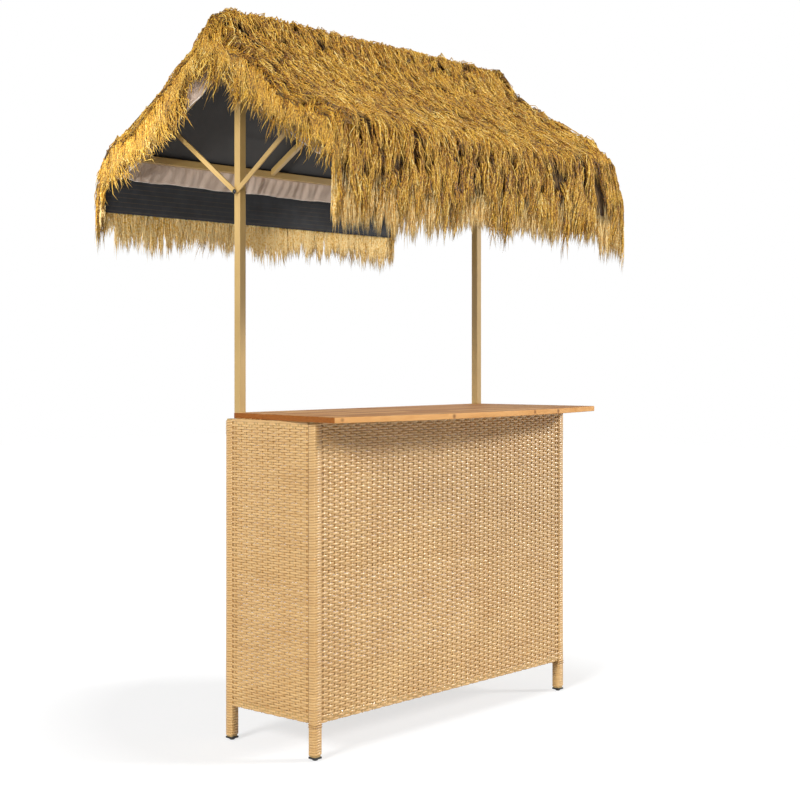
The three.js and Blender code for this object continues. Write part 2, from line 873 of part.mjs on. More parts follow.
add("front_thatch", lowerRoll(-1), thatch);
add("back_thatch", lowerRoll(1), thatch);

// Ridge roll: thick over the ridge, thinning down both slopes, its tips over the lower rolls
const ridgeStationShares = [0.13, 0.24, 0.44, 1];
const ridgeThickShares = [1, 0.97, 0.78, 0.47, 0.31, 0.2];
const ridgeStations = [
  0,
  beamHalf,
  ...ridgeStationShares.map((share) => (ridgeRollReach - edgeStep) * share),
];

function ridgeSections(i) {
  const half = (sign) => {
    const stations = ridgeStations.map((y, j) => {
      const bed = matBed(y) + matThick + gap;
      const thick = ridgeRollThick * ridgeThickShares[j] * endDrop(i);
      return [y, bed, bed + thick - hollow(i, sign * j)];
    });
    for (const share of [0, 1]) {
      const run = ridgeTipReach + (tipScatter / 2) * tip(i + sign);
      const y = ridgeRollReach + run * share;
      const bed = lowerTop(Math.max(y, lowerStart)) + 2 * gap;
      stations.push([y, bed, bed + ridgeTipThick * (1 - share / 2)]);
    }
    return stations.map(([y, low, high]) => [sign * y, low, high]);
  };
  const front = half(-1).reverse().slice(0, -1);
  const stations = [...front, ...half(1)];
  return {
    inner: stations.map(([y, low]) => [y, low]),
    outer: stations.map(([y, , high]) => [y, high]),
  };
}

function ridgeRoll() {
  const body = solid(rollShell(ridgeSections, 1));
  const core = ridgeSections(0);
  const inside = core.outer
    .map(([y, z], j) => [y, (z + core.inner[j][1]) / 2])
    .filter(([y]) => Math.abs(y) < ridgeRollReach)
    .reverse();
  const reach = inside[0][0];
  const points = [...ragged(-reach, 0, gableLow), ...ragged(0, reach, gableLow).slice(1)];
  return geometryOf(body.add(gableSlices([...points, ...inside], 1)));
}

add("ridge_thatch", ridgeRoll(), thatch);

export default hut;
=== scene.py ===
import math

import bmesh
import bpy
import numpy as np
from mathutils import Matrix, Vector


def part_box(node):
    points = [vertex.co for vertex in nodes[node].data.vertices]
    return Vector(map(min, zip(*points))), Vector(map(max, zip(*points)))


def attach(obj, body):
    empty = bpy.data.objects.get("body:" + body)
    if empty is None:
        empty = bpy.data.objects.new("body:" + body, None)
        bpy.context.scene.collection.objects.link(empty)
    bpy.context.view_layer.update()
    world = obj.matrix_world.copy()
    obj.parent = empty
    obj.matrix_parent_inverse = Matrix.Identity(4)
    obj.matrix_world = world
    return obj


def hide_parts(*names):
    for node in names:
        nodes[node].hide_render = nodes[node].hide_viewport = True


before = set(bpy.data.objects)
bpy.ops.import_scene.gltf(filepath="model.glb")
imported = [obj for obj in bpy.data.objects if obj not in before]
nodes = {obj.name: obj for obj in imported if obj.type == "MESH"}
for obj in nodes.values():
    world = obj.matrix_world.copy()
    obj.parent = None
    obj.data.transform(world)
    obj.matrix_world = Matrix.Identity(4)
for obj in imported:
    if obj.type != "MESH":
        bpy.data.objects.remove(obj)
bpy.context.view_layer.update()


# Camera. It stands before the left front corner, a little higher than the counter, and looks
# level, with its view shifted down, so that the posts stay upright in the picture.
eye = bpy.data.objects.new("camera", bpy.data.cameras.new("camera"))
bpy.context.scene.collection.objects.link(eye)
eye.location = (-3.845, -3.555, 1.2314)
eye.rotation_euler = (math.radians(90), 0, math.radians(-48.46))
eye.data.sensor_width = 36
eye.data.lens = 66.7
eye.data.shift_y = -0.0546
bpy.context.scene.camera = eye
bpy.context.scene.view_settings.view_transform = "Standard"


# Studio. A white floor runs out into a white surround, and soft light comes from the left,
# with a narrower one low on the right that draws the shadows under the edges. A narrow spot
# reaches in under the roof.
FLOOR_HALF = 14.0
FLOOR_GAP = 0.0005
WHITE_FROM, WHITE_AT = 0.9, 2.6
NEAR_GLOW = 0.44
AMBIENT = 0.15


def rgb(code):
    """A colour written as on screen, turned into the linear values that shaders take."""
    parts = [int(code[i : i + 2], 16) / 255 for i in (1, 3, 5)]
    return [c / 12.92 if c <= 0.04045 else ((c + 0.055) / 1.055) ** 2.4 for c in parts] + [1]


class Flow:
    """A socket of a finish. Sums and products of sockets add the Math nodes."""

    def __init__(self, tree, socket):
        self.tree = tree
        self.socket = socket

    def node(self, kind, settings, inputs, output=0):
        made = self.tree.nodes.new("ShaderNode" + kind)
        for name, value in settings.items():
            if name == "stops":
                ramp = made.color_ramp.elements
                ramp.remove(ramp[1])
                ramp[0].position, ramp[0].color = value[0][0], rgb(value[0][1])
                for place, code in value[1:]:
                    ramp.new(place).color = rgb(code)
            else:
                setattr(made, name, value)
        for name, value in inputs.items():
            if isinstance(value, Flow):
                self.tree.links.new(value.socket, made.inputs[name])
            else:
                made.inputs[name].default_value = value
        return Flow(self.tree, made.outputs[output])

    def maths(self, operation, *values):
        return self.node("Math", {"operation": operation}, dict(enumerate(values)))

    def __add__(self, other):
        return self.maths("ADD", self, other)

    def __radd__(self, other):
        return self.maths("ADD", other, self)

    def __sub__(self, other):
        return self.maths("SUBTRACT", self, other)

    def __rsub__(self, other):
        return self.maths("SUBTRACT", other, self)

    def __mul__(self, other):
        return self.maths("MULTIPLY", self, other)

    def __rmul__(self, other):
        return self.maths("MULTIPLY", other, self)

    def __truediv__(self, other):
        return self.maths("DIVIDE", self, other)

    def step(self, low, high, to_low=0.0, to_high=1.0):
        """Runs from to_low to to_high while the socket runs from low to high."""
        names = ("Value", "From Min", "From Max", "To Min", "To Max")
        return self.node("MapRange", {}, dict(zip(names, (self, low, high, to_low, to_high))))

    def stretched(self, x, y, z):
        return self.node("VectorMath", {"operation": "MULTIPLY"}, {0: self, 1: (x, y, z)})

    def noise(self, scale, detail=2.0, roughness=0.5):
        inputs = {"Vector": self, "Scale": scale, "Detail": detail, "Roughness": roughness}
        return self.node("TexNoise", {}, inputs)

    def between(self, first, second, how="MIX"):
        """Mixes two colours, and the socket says how much of the second shows."""
        colours = [rgb(c) if isinstance(c, str) else c for c in (first, second)]
        settings = {"data_type": "RGBA", "blend_type": how}
        return self.node("Mix", settings, {0: self, 6: colours[0], 7: colours[1]}, 2)

    def ramp(self, stops):
        return self.node("ValToRGB", {"stops": stops}, {"Fac": self})


class Finish:
    """A material with one Principled shader. Its steady values are set on the shader."""

    def __init__(self, name, **steady):
        self.material = bpy.data.materials.new(name)
        self.material.use_nodes = True
        self.tree = self.material.node_tree
        self.shader = self.tree.nodes["Principled BSDF"]
        for socket, value in steady.items():
            self.shader.inputs[socket.replace("_", " ")].default_value = value
        place = self.tree.nodes.new("ShaderNodeTexCoord")
        self.place = Flow(self.tree, place.outputs["Object"])

    def parts(self, source=None):
        """The x, y and z of a place as three sockets."""
        split = (source or self.place).node("SeparateXYZ", {}, {0: source or self.place})
        return [Flow(self.tree, out) for out in split.socket.node.outputs]

    def attribute(self, name):
        return self.place.node("Attribute", {"attribute_name": name}, {}, 2)

    def feed(self, socket, flow):
        self.tree.links.new(flow.socket, self.shader.inputs[socket])

    def bump(self, height, strength, distance):
        inputs = {"Height": height, "Strength": strength, "Distance": distance}
        self.feed("Normal", height.node("Bump", {}, inputs))


def link(piece):
    bpy.context.scene.collection.objects.link(piece)
    return piece


def dress(piece, *finishes):
    """Gives a piece or a CAD node its materials."""
    piece.data.materials.clear()
    for f in finishes:
        piece.data.materials.append(f.material)
    return piece


ground = bmesh.new()
bmesh.ops.create_grid(ground, x_segments=1, y_segments=1, size=FLOOR_HALF)
floor_mesh = bpy.data.meshes.new("floor")
ground.to_mesh(floor_mesh)
ground.free()
floor = link(bpy.data.objects.new("floor", floor_mesh))
floor.location.z = -FLOOR_GAP
white = Finish("studio_floor", Roughness=0.9)
white.shader.inputs["Base Color"].default_value = (0.6, 0.6, 0.6, 1)
seen = white.place.node("LightPath", {}, {})
seen = seen.maths("MAXIMUM", seen, Flow(white.tree, seen.socket.node.outputs["Is Glossy Ray"]))
distance = white.place.node("VectorMath", {"operation": "LENGTH"}, {0: white.place}, 1)
glow = white.place.node("Emission", {}, {"Color": (1, 1, 1, 1), "Strength": 1.57})
far = distance.step(WHITE_FROM, WHITE_AT, NEAR_GLOW, 1.0) * seen
lit = white.place.node(
    "MixShader", {}, {0: far, 1: Flow(white.tree, white.shader.outputs[0]), 2: glow}
)
white.tree.links.new(lit.socket, white.tree.nodes["Material Output"].inputs["Surface"])
dress(floor, white)

world = bpy.data.worlds.new("surround")
bpy.context.scene.world = world
world.use_nodes = True
sky = world.node_tree.nodes["Background"]
sky.inputs["Color"].default_value = (1, 1, 1, 1)
path = Flow(world.node_tree, world.node_tree.nodes.new("ShaderNodeLightPath").outputs[0])
for other in ("Is Glossy Ray", "Is Transmission Ray"):
    ray = Flow(path.tree, path.tree.nodes["Light Path"].outputs[other])
    path = path.maths("MAXIMUM", path, ray)
world.node_tree.links.new(path.step(0, 1, AMBIENT, 1.0).socket, sky.inputs["Strength"])


def sun(name, towards, strength, softness):
    """A broad studio light. towards is the direction from the object to the light."""
    lamp = bpy.data.lights.new(name, "SUN")
    lamp.energy = strength * math.pi
    lamp.angle = math.radians(softness)
    holder = link(bpy.data.objects.new(name, lamp))
    holder.rotation_euler = Vector(towards).to_track_quat("Z", "Y").to_euler()


sun("left_light", towards=(-0.84, -0.14, 0.52), strength=0.84, softness=16)
sun("right_light", towards=(0.66, -0.65, 0.38), strength=0.88, softness=12)
sun("fill_light", towards=(-0.93, -0.36, -0.05), strength=0.18, softness=50)
under_roof = bpy.data.lights.new("under_roof_light", "SPOT")
under_roof.energy = 430
under_roof.shadow_soft_size = 0.12
under_roof.spot_size = math.radians(15)
under_roof.spot_blend = 1.0
holder = link(bpy.data.objects.new("under_roof_light", under_roof))
holder.location = (-4.1, -0.75, 1.25)
aim = Vector((-0.1, 0.51, 1.82)) - holder.location
holder.rotation_euler = aim.to_track_quat("-Z", "Y").to_euler()


# Legs. Square steel tubes, each wound from the foot up to the top with one flat strand of
# honey-coloured resin, turn on turn. The tubes inside hardly show.
CORNERS = ("front_left", "front_right", "rear_left", "rear_right")
ROW_PITCH = 0.00813
FIRST_TURN_SHARE = 0.55
OVER_STAKE, UNDER_STAKE = 0.0009, -0.0006
STRAND_WIDTH = 0.0086
STRAND_THICK = 0.0013
STRAND_BEVEL = 0.0013
STRAND_BACK = STRAND_WIDTH / 2
STRAND_FRONT = STRAND_BACK - STRAND_BEVEL
FLAT_STRAND = [
    (-STRAND_THICK / 2, -STRAND_BACK),
    (-STRAND_THICK / 2, STRAND_BACK),
    (STRAND_THICK / 2, STRAND_FRONT),
    (STRAND_THICK / 2, -STRAND_FRONT),
]
LYING_STRAND = [(y, x) for x, y in reversed(FLAT_STRAND)]

wicker = Finish("honey_wicker", Roughness=0.4, Coat_Weight=0.5, Coat_Roughness=0.2)
tone = wicker.place.noise(9, 3)
strand_tone = wicker.place.stretched(3.5, 3.5, 123).noise(1, 1)
streak = wicker.place.stretched(30, 30, 1500).noise(1, 2)
honey = (tone * 0.45 + strand_tone * 0.55).step(0.3, 0.7).between("#BF8F4D", "#DAB070")
wicker.feed("Base Color", (streak.step(0.35, 0.7) * 0.35).between(honey, "#E9C78E"))
wicker.bump(streak, 0.25, 0.0004)

steel = Finish("champagne_steel", Roughness=0.38, Metallic=0.0, Coat_Weight=0.2)
grain = steel.place.noise(900, 2)
steel.feed("Base Color", steel.place.noise(5, 2).step(0.3, 0.7).between("#B59458", "#C1A165"))
steel.feed("Roughness", grain.step(0.3, 0.7, 0.34, 0.46))
steel.bump(grain, 0.15, 0.0002)


def keep(mesh_or_bm, name, body, slot, *finishes, stands_for=()):
    """Makes a piece of a mesh, on its body, with its finish. The slot is not used."""
    mesh = mesh_or_bm
    if isinstance(mesh_or_bm, bmesh.types.BMesh):
        mesh = bpy.data.meshes.new(name)
        mesh_or_bm.to_mesh(mesh)
        mesh_or_bm.free()
    piece = dress(link(bpy.data.objects.new(name, mesh)), *finishes)
    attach(piece, body)
    if stands_for:
        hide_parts(*stands_for)
    return piece


def extruded(name, section, lines, sizes=None, twist="Z_UP", closed_ends=True):
    """A mesh of strands. Each line is the middle of one, and the section is drawn along it."""
    die = bpy.data.curves.new("die", "CURVE")
    rim = die.splines.new("POLY")
    rim.points.add(len(section) - 1)
    for point, (x, y) in zip(rim.points, section):
        point.co = (x, y, 0, 1)
    rim.use_cyclic_u = True
    die_holder = link(bpy.data.objects.new("die", die))
    drawn = bpy.data.curves.new(name, "CURVE")
    drawn.dimensions = "3D"
    drawn.twist_mode = twist
    drawn.bevel_mode = "OBJECT"
    drawn.bevel_object = die_holder
    drawn.use_fill_caps = closed_ends
    drawn.resolution_u = 1
    for number, line in enumerate(lines):
        spline = drawn.splines.new("POLY")
        spline.points.add(len(line) - 1)
        places = np.ones((len(line), 4), np.float32)
        places[:, :3] = line
        spline.points.foreach_set("co", places.ravel())
        if sizes is not None:
            spline.points.foreach_set("radius", np.asarray(sizes[number], np.float32))
        spline.use_smooth = True
    holder = link(bpy.data.objects.new(name, drawn))
    seen_now = holder.evaluated_get(bpy.context.evaluated_depsgraph_get())
    mesh = bpy.data.meshes.new_from_object(seen_now)
    for used in (holder, die_holder):
        bpy.data.objects.remove(used)
    return mesh


def winding(low, high, half_x, half_y, axis, panel_from=None, corner=0.0022):
    """The line of a strand wound round a square bar from low to high along an axis."""
    middle = [(a + b) / 2 for a, b in zip(low, high)]
    start = low[axis] + ROW_PITCH * FIRST_TURN_SHARE
    end = high[axis] - ROW_PITCH * FIRST_TURN_SHARE
    turns = max(1, round((end - start) / ROW_PITCH))
    ring = []
    for sx, sy, turned in ((1, 1, 0), (-1, 1, 1), (-1, -1, 0), (1, -1, 1)):
        near = (sx * half_x, sy * (half_y - corner), 0)
        other = (sx * (half_x - corner), sy * half_y, 0)
        ring += [near, other] if not turned else [other, near]
        ring.append((0, sy * half_y, 1) if not turned else (sx * half_x, 0, 1))
    line = []
    steps = turns * len(ring)
    for number in range(steps + 1):
        turn, place = divmod(number, len(ring))
        across_x, across_y, is_face = ring[place]
        along = start + (end - start) * number / steps
        bulge = 0.0
        if is_face and panel_from is not None and along > panel_from:
            bulge = OVER_STAKE if (turn + place // 3) % 2 else UNDER_STAKE
        point = [0, 0, 0]
        others = [i for i in range(3) if i != axis]
        point[axis] = along
        size = max(abs(across_x), abs(across_y))
        point[others[0]] = middle[others[0]] + across_x * (1 + bulge / size)
        point[others[1]] = middle[others[1]] + across_y * (1 + bulge / size)
        line.append(point)
    return line


def round_section(radius):
    """A six-sided rim for a thin round strand."""
    return [(radius * math.cos(a), radius * math.sin(a)) for a in np.arange(0, -6.2, -math.pi / 3)]


def crisp(mesh, degrees=50):
    """Keeps the long edges of flat strands sharp and the bends smooth."""
    mesh.set_sharp_from_angle(angle=math.radians(degrees))
    return mesh


PANEL_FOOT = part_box("left_panel")[0].z
for corner in CORNERS:
    low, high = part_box(f"{corner}_leg_wrap")
    half = (high.x - low.x) / 2 - STRAND_THICK / 2
    turns = winding(low, high, half, half, 2, PANEL_FOOT)
    wrap = extruded(f"{corner}_winding", FLAT_STRAND, [turns])
    keep(wrap, f"{corner}_winding", "hut", "wicker", wicker, stands_for=[f"{corner}_leg_wrap"])
    dress(nodes[f"{corner}_leg"], steel)

# The tie cord is dark brown with light and dark dashes along it: its own colour, and painted shade
# in the grooves of its twist. The panels' end stakes take the same finish as painted seam shade.
tie_cord_and_seam_shade = Finish("brown_tie_strand", Roughness=0.5)
twist = tie_cord_and_seam_shade.place.noise(400, 2).step(0.4, 0.6)
tie_cord_and_seam_shade.feed("Base Color", twist.between("#6B461C", "#C1924F"))
TIE_RADIUS = 0.0011
TIES_BELOW_PANEL = (0.0035, 0.0105)
TIE_WAVE = 0.0006
for corner in CORNERS[:2]:
    low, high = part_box(f"{corner}_leg_wrap")
    middle = (low + high) / 2
    loops = []
    out = (high.x - low.x) / 2 + 0.0004
    for below in TIES_BELOW_PANEL:
        z = PANEL_FOOT - below
        turn = []
        for share in np.arange(0, 1, 1 / 96):
            place = Vector((math.cos(2 * math.pi * share), math.sin(2 * math.pi * share)))
            place *= min(out / max(abs(place.x), abs(place.y)), out * 1.36)
            turn.append(middle.xy + place)
        closed = enumerate(turn + turn[:2])
        loops.append([(p.x, p.y, z + TIE_WAVE * math.sin(i * 1.9)) for i, p in closed])
    tie = extruded("tie", round_section(TIE_RADIUS), loops)
    keep(tie, f"{corner}_leg_tie", "hut", "wicker", tie_cord_and_seam_shade)


# Feet. A cap of black plastic closes the foot of each leg. A black steel glide with a round
# pad screws up into it, to level the hut on uneven ground.
black_plastic = Finish("black_plastic", Roughness=0.45)
grit = black_plastic.place.noise(700, 2)
black_plastic.feed("Base Color", black_plastic.place.noise(40).between("#141517", "#1D1E20"))
black_plastic.bump(grit, 0.2, 0.0002)
black_steel = Finish("black_steel", Roughness=0.35, Metallic=0.7)
black_steel.feed("Base Color", black_steel.place.noise(60).between("#1B1C1E", "#2A2B2D"))
black_steel.feed("Roughness", black_steel.place.noise(500).step(0.3, 0.7, 0.28, 0.45))
for corner in CORNERS:
    dress(nodes[f"{corner}_foot_cap"], black_plastic)
    dress(nodes[f"{corner}_glide"], black_steel)


# Panels. Flat strands are woven over and under upright stakes between the legs, on a top
# and a bottom rail that are wound with the same strand.
STAKE_PITCH = 0.0248
WEAVE_DEPTH = 0.0023
SQUARENESS = 1.5
ROW_LIFT = 0.00015
ROW_WANDER = 0.00025
TRIM = 0.001
SHEET_DEPTH = 0.005
SIDE_GAP = 0.0014
EDGING_OUT = 0.0019
RAIL_SIDE = 0.0254
RAIL_CLEAR = 0.0005
RAIL_BEHIND = 0.0056


def weave_line(start, end, across, out, number, samples):
    """One strand from start to end, over and under the stakes. out is the way it bulges."""
    start, end, out = Vector(start), Vector(end), Vector(out)
    length = (end - start).length
    stakes = max(2, round(length / STAKE_PITCH))
    count = stakes * samples
    lift = ROW_LIFT * math.sin(number * 1.7)
    line = []
    for i in range(count + 1):
        share = i / count
        wave = math.cos(math.pi * (share * stakes + number + 0.5))
        bulge = WEAVE_DEPTH * math.tanh(SQUARENESS * wave) / math.tanh(SQUARENESS)
        wander = ROW_WANDER * math.sin(9 * share + number * 2.3)
        line.append(start.lerp(end, share) + out * (bulge + lift) + Vector(across) * wander)
    return line


def woven(low, high, along, across, out, samples=4, backwards=False):
    """Rows of strand that fill a box, with the stakes that they pass."""
    rows = round((high[across] - low[across]) / ROW_PITCH)
    pitch = (high[across] - low[across]) / rows
    middle = (low[out] + high[out]) / 2
    step, bulge = Vector(), Vector()
    step[across], bulge[out] = 1, 1
    lines = []
    for row in range(rows):
        ends = []
        for place in (low[along], high[along]):
            point = Vector()
            point[along], point[out] = place, middle
            point[across] = low[across] + (row + 0.5) * pitch
            ends.append(point)
        if backwards:
            ends.reverse()
        lines.append(weave_line(*ends, step, bulge, row, samples))
    stakes = max(2, round((high[along] - low[along]) / STAKE_PITCH))
    posts = []
    for number in np.arange(0.5, stakes):
        foot = Vector()
        foot[along] = low[along] + (high[along] - low[along]) * number / stakes
        foot[out], foot[across] = middle, low[across] + TRIM
        head = foot.copy()
        head[across] = high[across] - TRIM
        posts.append([foot, head])
    return lines, posts


def joined(name, *meshes):
    """One mesh of several."""
    whole = bmesh.new()
    for mesh in meshes:
        whole.from_mesh(mesh)
    result = bpy.data.meshes.new(name)
    whole.to_mesh(result)
    whole.free()
    return result


STAKE = [(-0.0006, -0.0034), (-0.0006, 0.0034), (0.0006, 0.0034), (0.0006, -0.0034)]
LYING_STAKE = [(y, x) for x, y in reversed(STAKE)]
for side, along, out, face in (("front", 0, 1, -1), ("left", 1, 0, -1), ("right", 1, 0, 1)):
    low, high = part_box(f"{side}_panel")
    sheet_low, sheet_high = low.copy(), high.copy()
    if face < 0:
        sheet_high[out] = low[out] + SHEET_DEPTH
    else:
        sheet_low[out] = high[out] - SHEET_DEPTH
    sheet_low[along] -= TRIM if along == 0 else -SIDE_GAP
    sheet_high[along] += TRIM
    upright = LYING_STAKE if along == 0 else STAKE
    rows, stakes = woven(sheet_low, sheet_high, along, 2, out, backwards=side == "left")
    # The stakes at both ends of a panel are dark brown: painted shade of the thin seam against the
    # leg.
    ends = []
    for place in (low[along] + 0.0004, high[along] - 0.0004):
        foot = (sheet_low + sheet_high) / 2
        foot[along], foot.z = place, low.z + TRIM
        ends.append([foot, (*foot.xy, high.z - TRIM)])
    keep(extruded("stakes", upright, ends), f"{side}_end_stakes_painted_seam_shade", "hut", "wicker", tie_cord_and_seam_shade)
    edge_places = []
    for place in (sheet_low[along] + TRIM, sheet_high[along] - TRIM):
        point = (sheet_low + sheet_high) / 2
        point[along] = place
        point[out] += face * EDGING_OUT
        point.z = high.z - STRAND_WIDTH / 2
        edge_places.append(point)
    if side == "left":
        edge_places.reverse()
    meshes = [
        extruded("rows", FLAT_STRAND, rows),
        extruded("stakes", upright, stakes),
        crisp(extruded("edging", FLAT_STRAND, [edge_places])),
    ]
    for level, bottom in (("bottom", low.z), ("top", high.z - RAIL_SIDE)):
        rail_low, rail_high = low.copy(), high.copy()
        rail_low.z, rail_high.z = bottom + RAIL_CLEAR, bottom + RAIL_SIDE - RAIL_CLEAR
        if face < 0:
            rail_low[out] = low[out] + RAIL_BEHIND
        else:
            rail_high[out] = high[out] - RAIL_BEHIND
        halves = [(rail_high[i] - rail_low[i] - STRAND_THICK) / 2 for i in range(3) if i != along]
        line = winding(rail_low, rail_high, *halves, along)
        wound = crisp(extruded("rail", LYING_STRAND, [line], twist="MINIMUM"))
        keep(wound, f"{side}_{level}_rail_winding", "hut", "wicker", wicker)
    name = f"{side}_weave"
    keep(joined(name, *meshes), name, "hut", "wicker", wicker, stands_for=[f"{side}_panel"])


# Rails. Square steel tubes, coated in the colour of the posts, run between the legs: inside
# the panels, across the open back and under the middle shelf.
for name, node in nodes.items():
    if name.endswith("_rail"):
        dress(node, steel)


# Shelves. Two boards, notched round the legs and laid on the rails. Flat strand is woven over
# both of their faces in the plain weave of the panels, in one wide field and two edges.
EDGE = 0.0026
SHELF_TRIM = 0.002
wrap_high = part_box("front_left_leg_wrap")[1]
rear_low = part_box("rear_left_leg_wrap")[0]


def clean_solid(name):
    """A CAD solid without doubled points or needless edges, ready to be shaped."""
    solid = bmesh.new()
    solid.from_mesh(nodes[name].data)
    bmesh.ops.remove_doubles(solid, verts=solid.verts, dist=1e-6)
    bmesh.ops.dissolve_limit(solid, angle_limit=0.02, verts=solid.verts, edges=solid.edges)
    return solid


for name in ("lower_shelf", "middle_shelf"):
    low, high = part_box(name)
    board = clean_solid(name)
    middle = (low + high) / 2
    for v in board.verts:
        for i, inset in enumerate((TRIM, TRIM, EDGE * 2)):
            v.co[i] += inset if v.co[i] < middle[i] else -inset
    core = bpy.data.meshes.new("core")
    board.to_mesh(core)
    board.free()
    meshes = [core]
    for bottom in (low.z, high.z - 2 * EDGE):
        sheet_low = Vector((low.x + SHELF_TRIM, wrap_high.y + TRIM, bottom))
        sheet_high = Vector((high.x - SHELF_TRIM, rear_low.y - TRIM, bottom + 2 * EDGE))
        rows, stakes = woven(sheet_low, sheet_high, 0, 1, 2, samples=2)
        narrow = wrap_high.x + TRIM
        for edge_low, edge_high in ((low.y + TRIM, wrap_high.y), (rear_low.y, high.y - TRIM)):
            part_low = Vector((narrow, edge_low, bottom))
            part_high = Vector((-narrow, edge_high, bottom + 2 * EDGE))
            more, extra = woven(part_low, part_high, 0, 1, 2, samples=2)
            rows += more
            stakes += extra
        meshes.append(extruded("rows", LYING_STRAND, rows))
        meshes.append(extruded("stakes", LYING_STAKE, stakes))
    keep(joined(name, *meshes), f"{name}_weave", "hut", "wicker", wicker, stands_for=[name])


# Tabletop. A board glued up from short oiled hardwood staves, with eased edges. The staves
# run along the counter, and their end grain shows dark at the two ends.
STAVE_WIDTH = 0.052
STAVE_LENGTH = 0.36
EASED = 0.0018
KNOTS = (
    (-0.655, -0.503, 1.041),
    (-0.2, -0.556, 1.040),
    (0.235, -0.555, 1.042),
    (0.39, -0.54, 1.04),
)
hardwood = Finish("oiled_hardwood", Roughness=0.6, Specular_IOR_Level=0.2)
x, y, z = hardwood.parts()
row = (y / STAVE_WIDTH).maths("FLOOR", y / STAVE_WIDTH)
shift = row.node("TexWhiteNoise", {"noise_dimensions": "1D"}, {"W": row + 3.3})
places = x / STAVE_LENGTH + shift
column = places.maths("FLOOR", places)
stave = row.node("CombineXYZ", {}, {0: row, 1: column, 2: 0.5})
pick = row.node("TexWhiteNoise", {"noise_dimensions": "3D"}, {"Vector": stave})
turned = row.node("CombineXYZ", {}, {0: x * 2.2 + pick * 31, 1: y * 70, 2: z * 55 + pick * 17})
grain = turned.noise(1, 4, 0.6)
fine = row.node("CombineXYZ", {}, {0: x * 9, 1: y * 420 + pick * 9, 2: z * 420}).noise(1, 2)
tone = pick.ramp([(0.0, "#A5713F"), (0.3, "#BB8650"), (0.6, "#C9965E"), (1.0, "#D9AB72")])
figure = (grain.step(0.35, 0.68) * 0.55).between(tone, "#8A5A2E")
figure = (fine.step(0.5, 0.75) * 0.3).between(figure, "#7B4E26")
edge_y = (y / STAVE_WIDTH - row).maths("PINGPONG", y / STAVE_WIDTH - row, 0.5)
edge_x = (places - column).maths("PINGPONG", places - column, 0.5)
seam = (1 - edge_y.step(0.004, 0.014)).maths(
    "MAXIMUM", 1 - edge_y.step(0.004, 0.014), 1 - edge_x.step(0.0006, 0.0022)
)
figure = (seam * 0.6).between(figure, "#5B371A")
normal = row.node("NewGeometry", {}, {}, 1)
facing = hardwood.parts(normal)
end_grain = facing[0].maths("ABSOLUTE", facing[0]).step(0.75, 0.95)
front_face = facing[1].maths("ABSOLUTE", facing[1]).step(0.75, 0.95)
speckle = hardwood.place.stretched(200, 90, 260).noise(1, 3)
end_tone = speckle.between("#7C4210", "#A8662A")
honey_edge = (grain.step(0.3, 0.7) * 0.6).between("#E3AC6C", "#C98A48")
figure = front_face.between(figure, honey_edge)
for knot in KNOTS:
    away = row.node("VectorMath", {"operation": "DISTANCE"}, {0: hardwood.place, 1: knot}, 1)
    figure = (away + grain * 0.006).step(0.006, 0.013, 0.75, 0.0).between(figure, "#6A3A1A")
hardwood.feed("Base Color", end_grain.between(figure, end_tone))
hardwood.feed("Roughness", grain.step(0.3, 0.7, 0.55, 0.7))
hardwood.bump(fine * 0.5 + seam * -1.0, 0.35, 0.0006)

low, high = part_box("tabletop")
board = clean_solid("tabletop")
post_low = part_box("right_post")[0]
rims = []
for edge in board.edges:
    a, b = (v.co for v in edge.verts)
    level = abs(a.z - b.z) < 1e-5 and min(abs(a.z - low.z), abs(a.z - high.z)) < 1e-4
    centre = (a + b) / 2
    near_post = abs(centre.x) > post_low.x - 0.002 and centre.y > post_low.y - 0.002
    if level and not near_post:
        rims.append(edge)
bmesh.ops.bevel(
    board, geom=rims, offset=EASED, segments=3, profile=0.5, affect="EDGES", material=-1
)
for face in board.faces:
    face.smooth = False
keep(board, "serving_board", "hut", "hardwood", hardwood, stands_for=["tabletop"])


# Posts. Square champagne-coloured steel tubes that stand on the rear corners of the top,
# each held by a plug and a bolt through the board.
for side in ("left", "right"):
    dress(nodes[f"{side}_post"], steel)
    dress(nodes[f"{side}_post_plug"], black_steel)


# Roof frame. A ridge beam on the posts, two eave beams and six rafters of square tube, and
# a pair of flat braces at each post on one black dome-headed bolt.
for name, node in nodes.items():
    if name.endswith(("_beam", "_rafter", "_brace")):
        dress(node, steel)
    if name.endswith("_bolt"):
        dress(node, black_steel)


# Canopy. One sheet of cloth, charcoal inside and taupe outside, lies over the beams. A
# gathered strip with a piped edge hangs from each eave, and a hem from each gable.
SLOPES = (("front", -1), ("back", 1))
GABLES = (("left", -1), ("right", 1))
COVER_THICK = 0.0012
COVER_LIFT = 0.001
COVER_SAG = 0.0035
COVER_CREASE = 0.0008
STRIP_THICK = 0.0011
BEAM_HALF = 0.0125
CLEAR = 0.0003


def cloth(name, dark, light, sheen=0.1, threads=900, depth=0.3):
    """Plain woven cloth. Its threads follow the piece's own map."""
    made = Finish(name, Roughness=0.85, Sheen_Weight=sheen)
    across = made.place.node("UVMap", {"uv_map": "OFBake"}, {})
    u, v = made.parts(across)[:2]
    warp = (u * threads).maths("SINE", u * threads)
    weft = (v * threads).maths("SINE", v * threads)
    thread = warp * weft
    wear = made.place.noise(14, 4)
    made.feed("Base Color", (wear.step(0.3, 0.7) * 0.7 + thread * 0.15).between(dark, light))
    made.bump(thread, depth, 0.0003)
    return made


taupe = cloth("taupe_cloth", "#B39C8A", "#CFBAA9")
# The gathered strips take a paler copy of the taupe cloth: painted light, for the light that
# reaches them under the roof.
taupe_painted_lighter = cloth("pale_taupe_cloth", "#CBB6A4", "#E6D5C6")
charcoal = cloth("charcoal_lining", "#262524", "#302E2D")
# The piping is paler than the cloth: partly its own colour, partly painted light on the round
# edge.
piping = Finish("pale_piping_and_painted_light", Roughness=0.7)
piping.feed("Base Color", piping.place.noise(60).between("#E2D4C6", "#F2E6DA"))


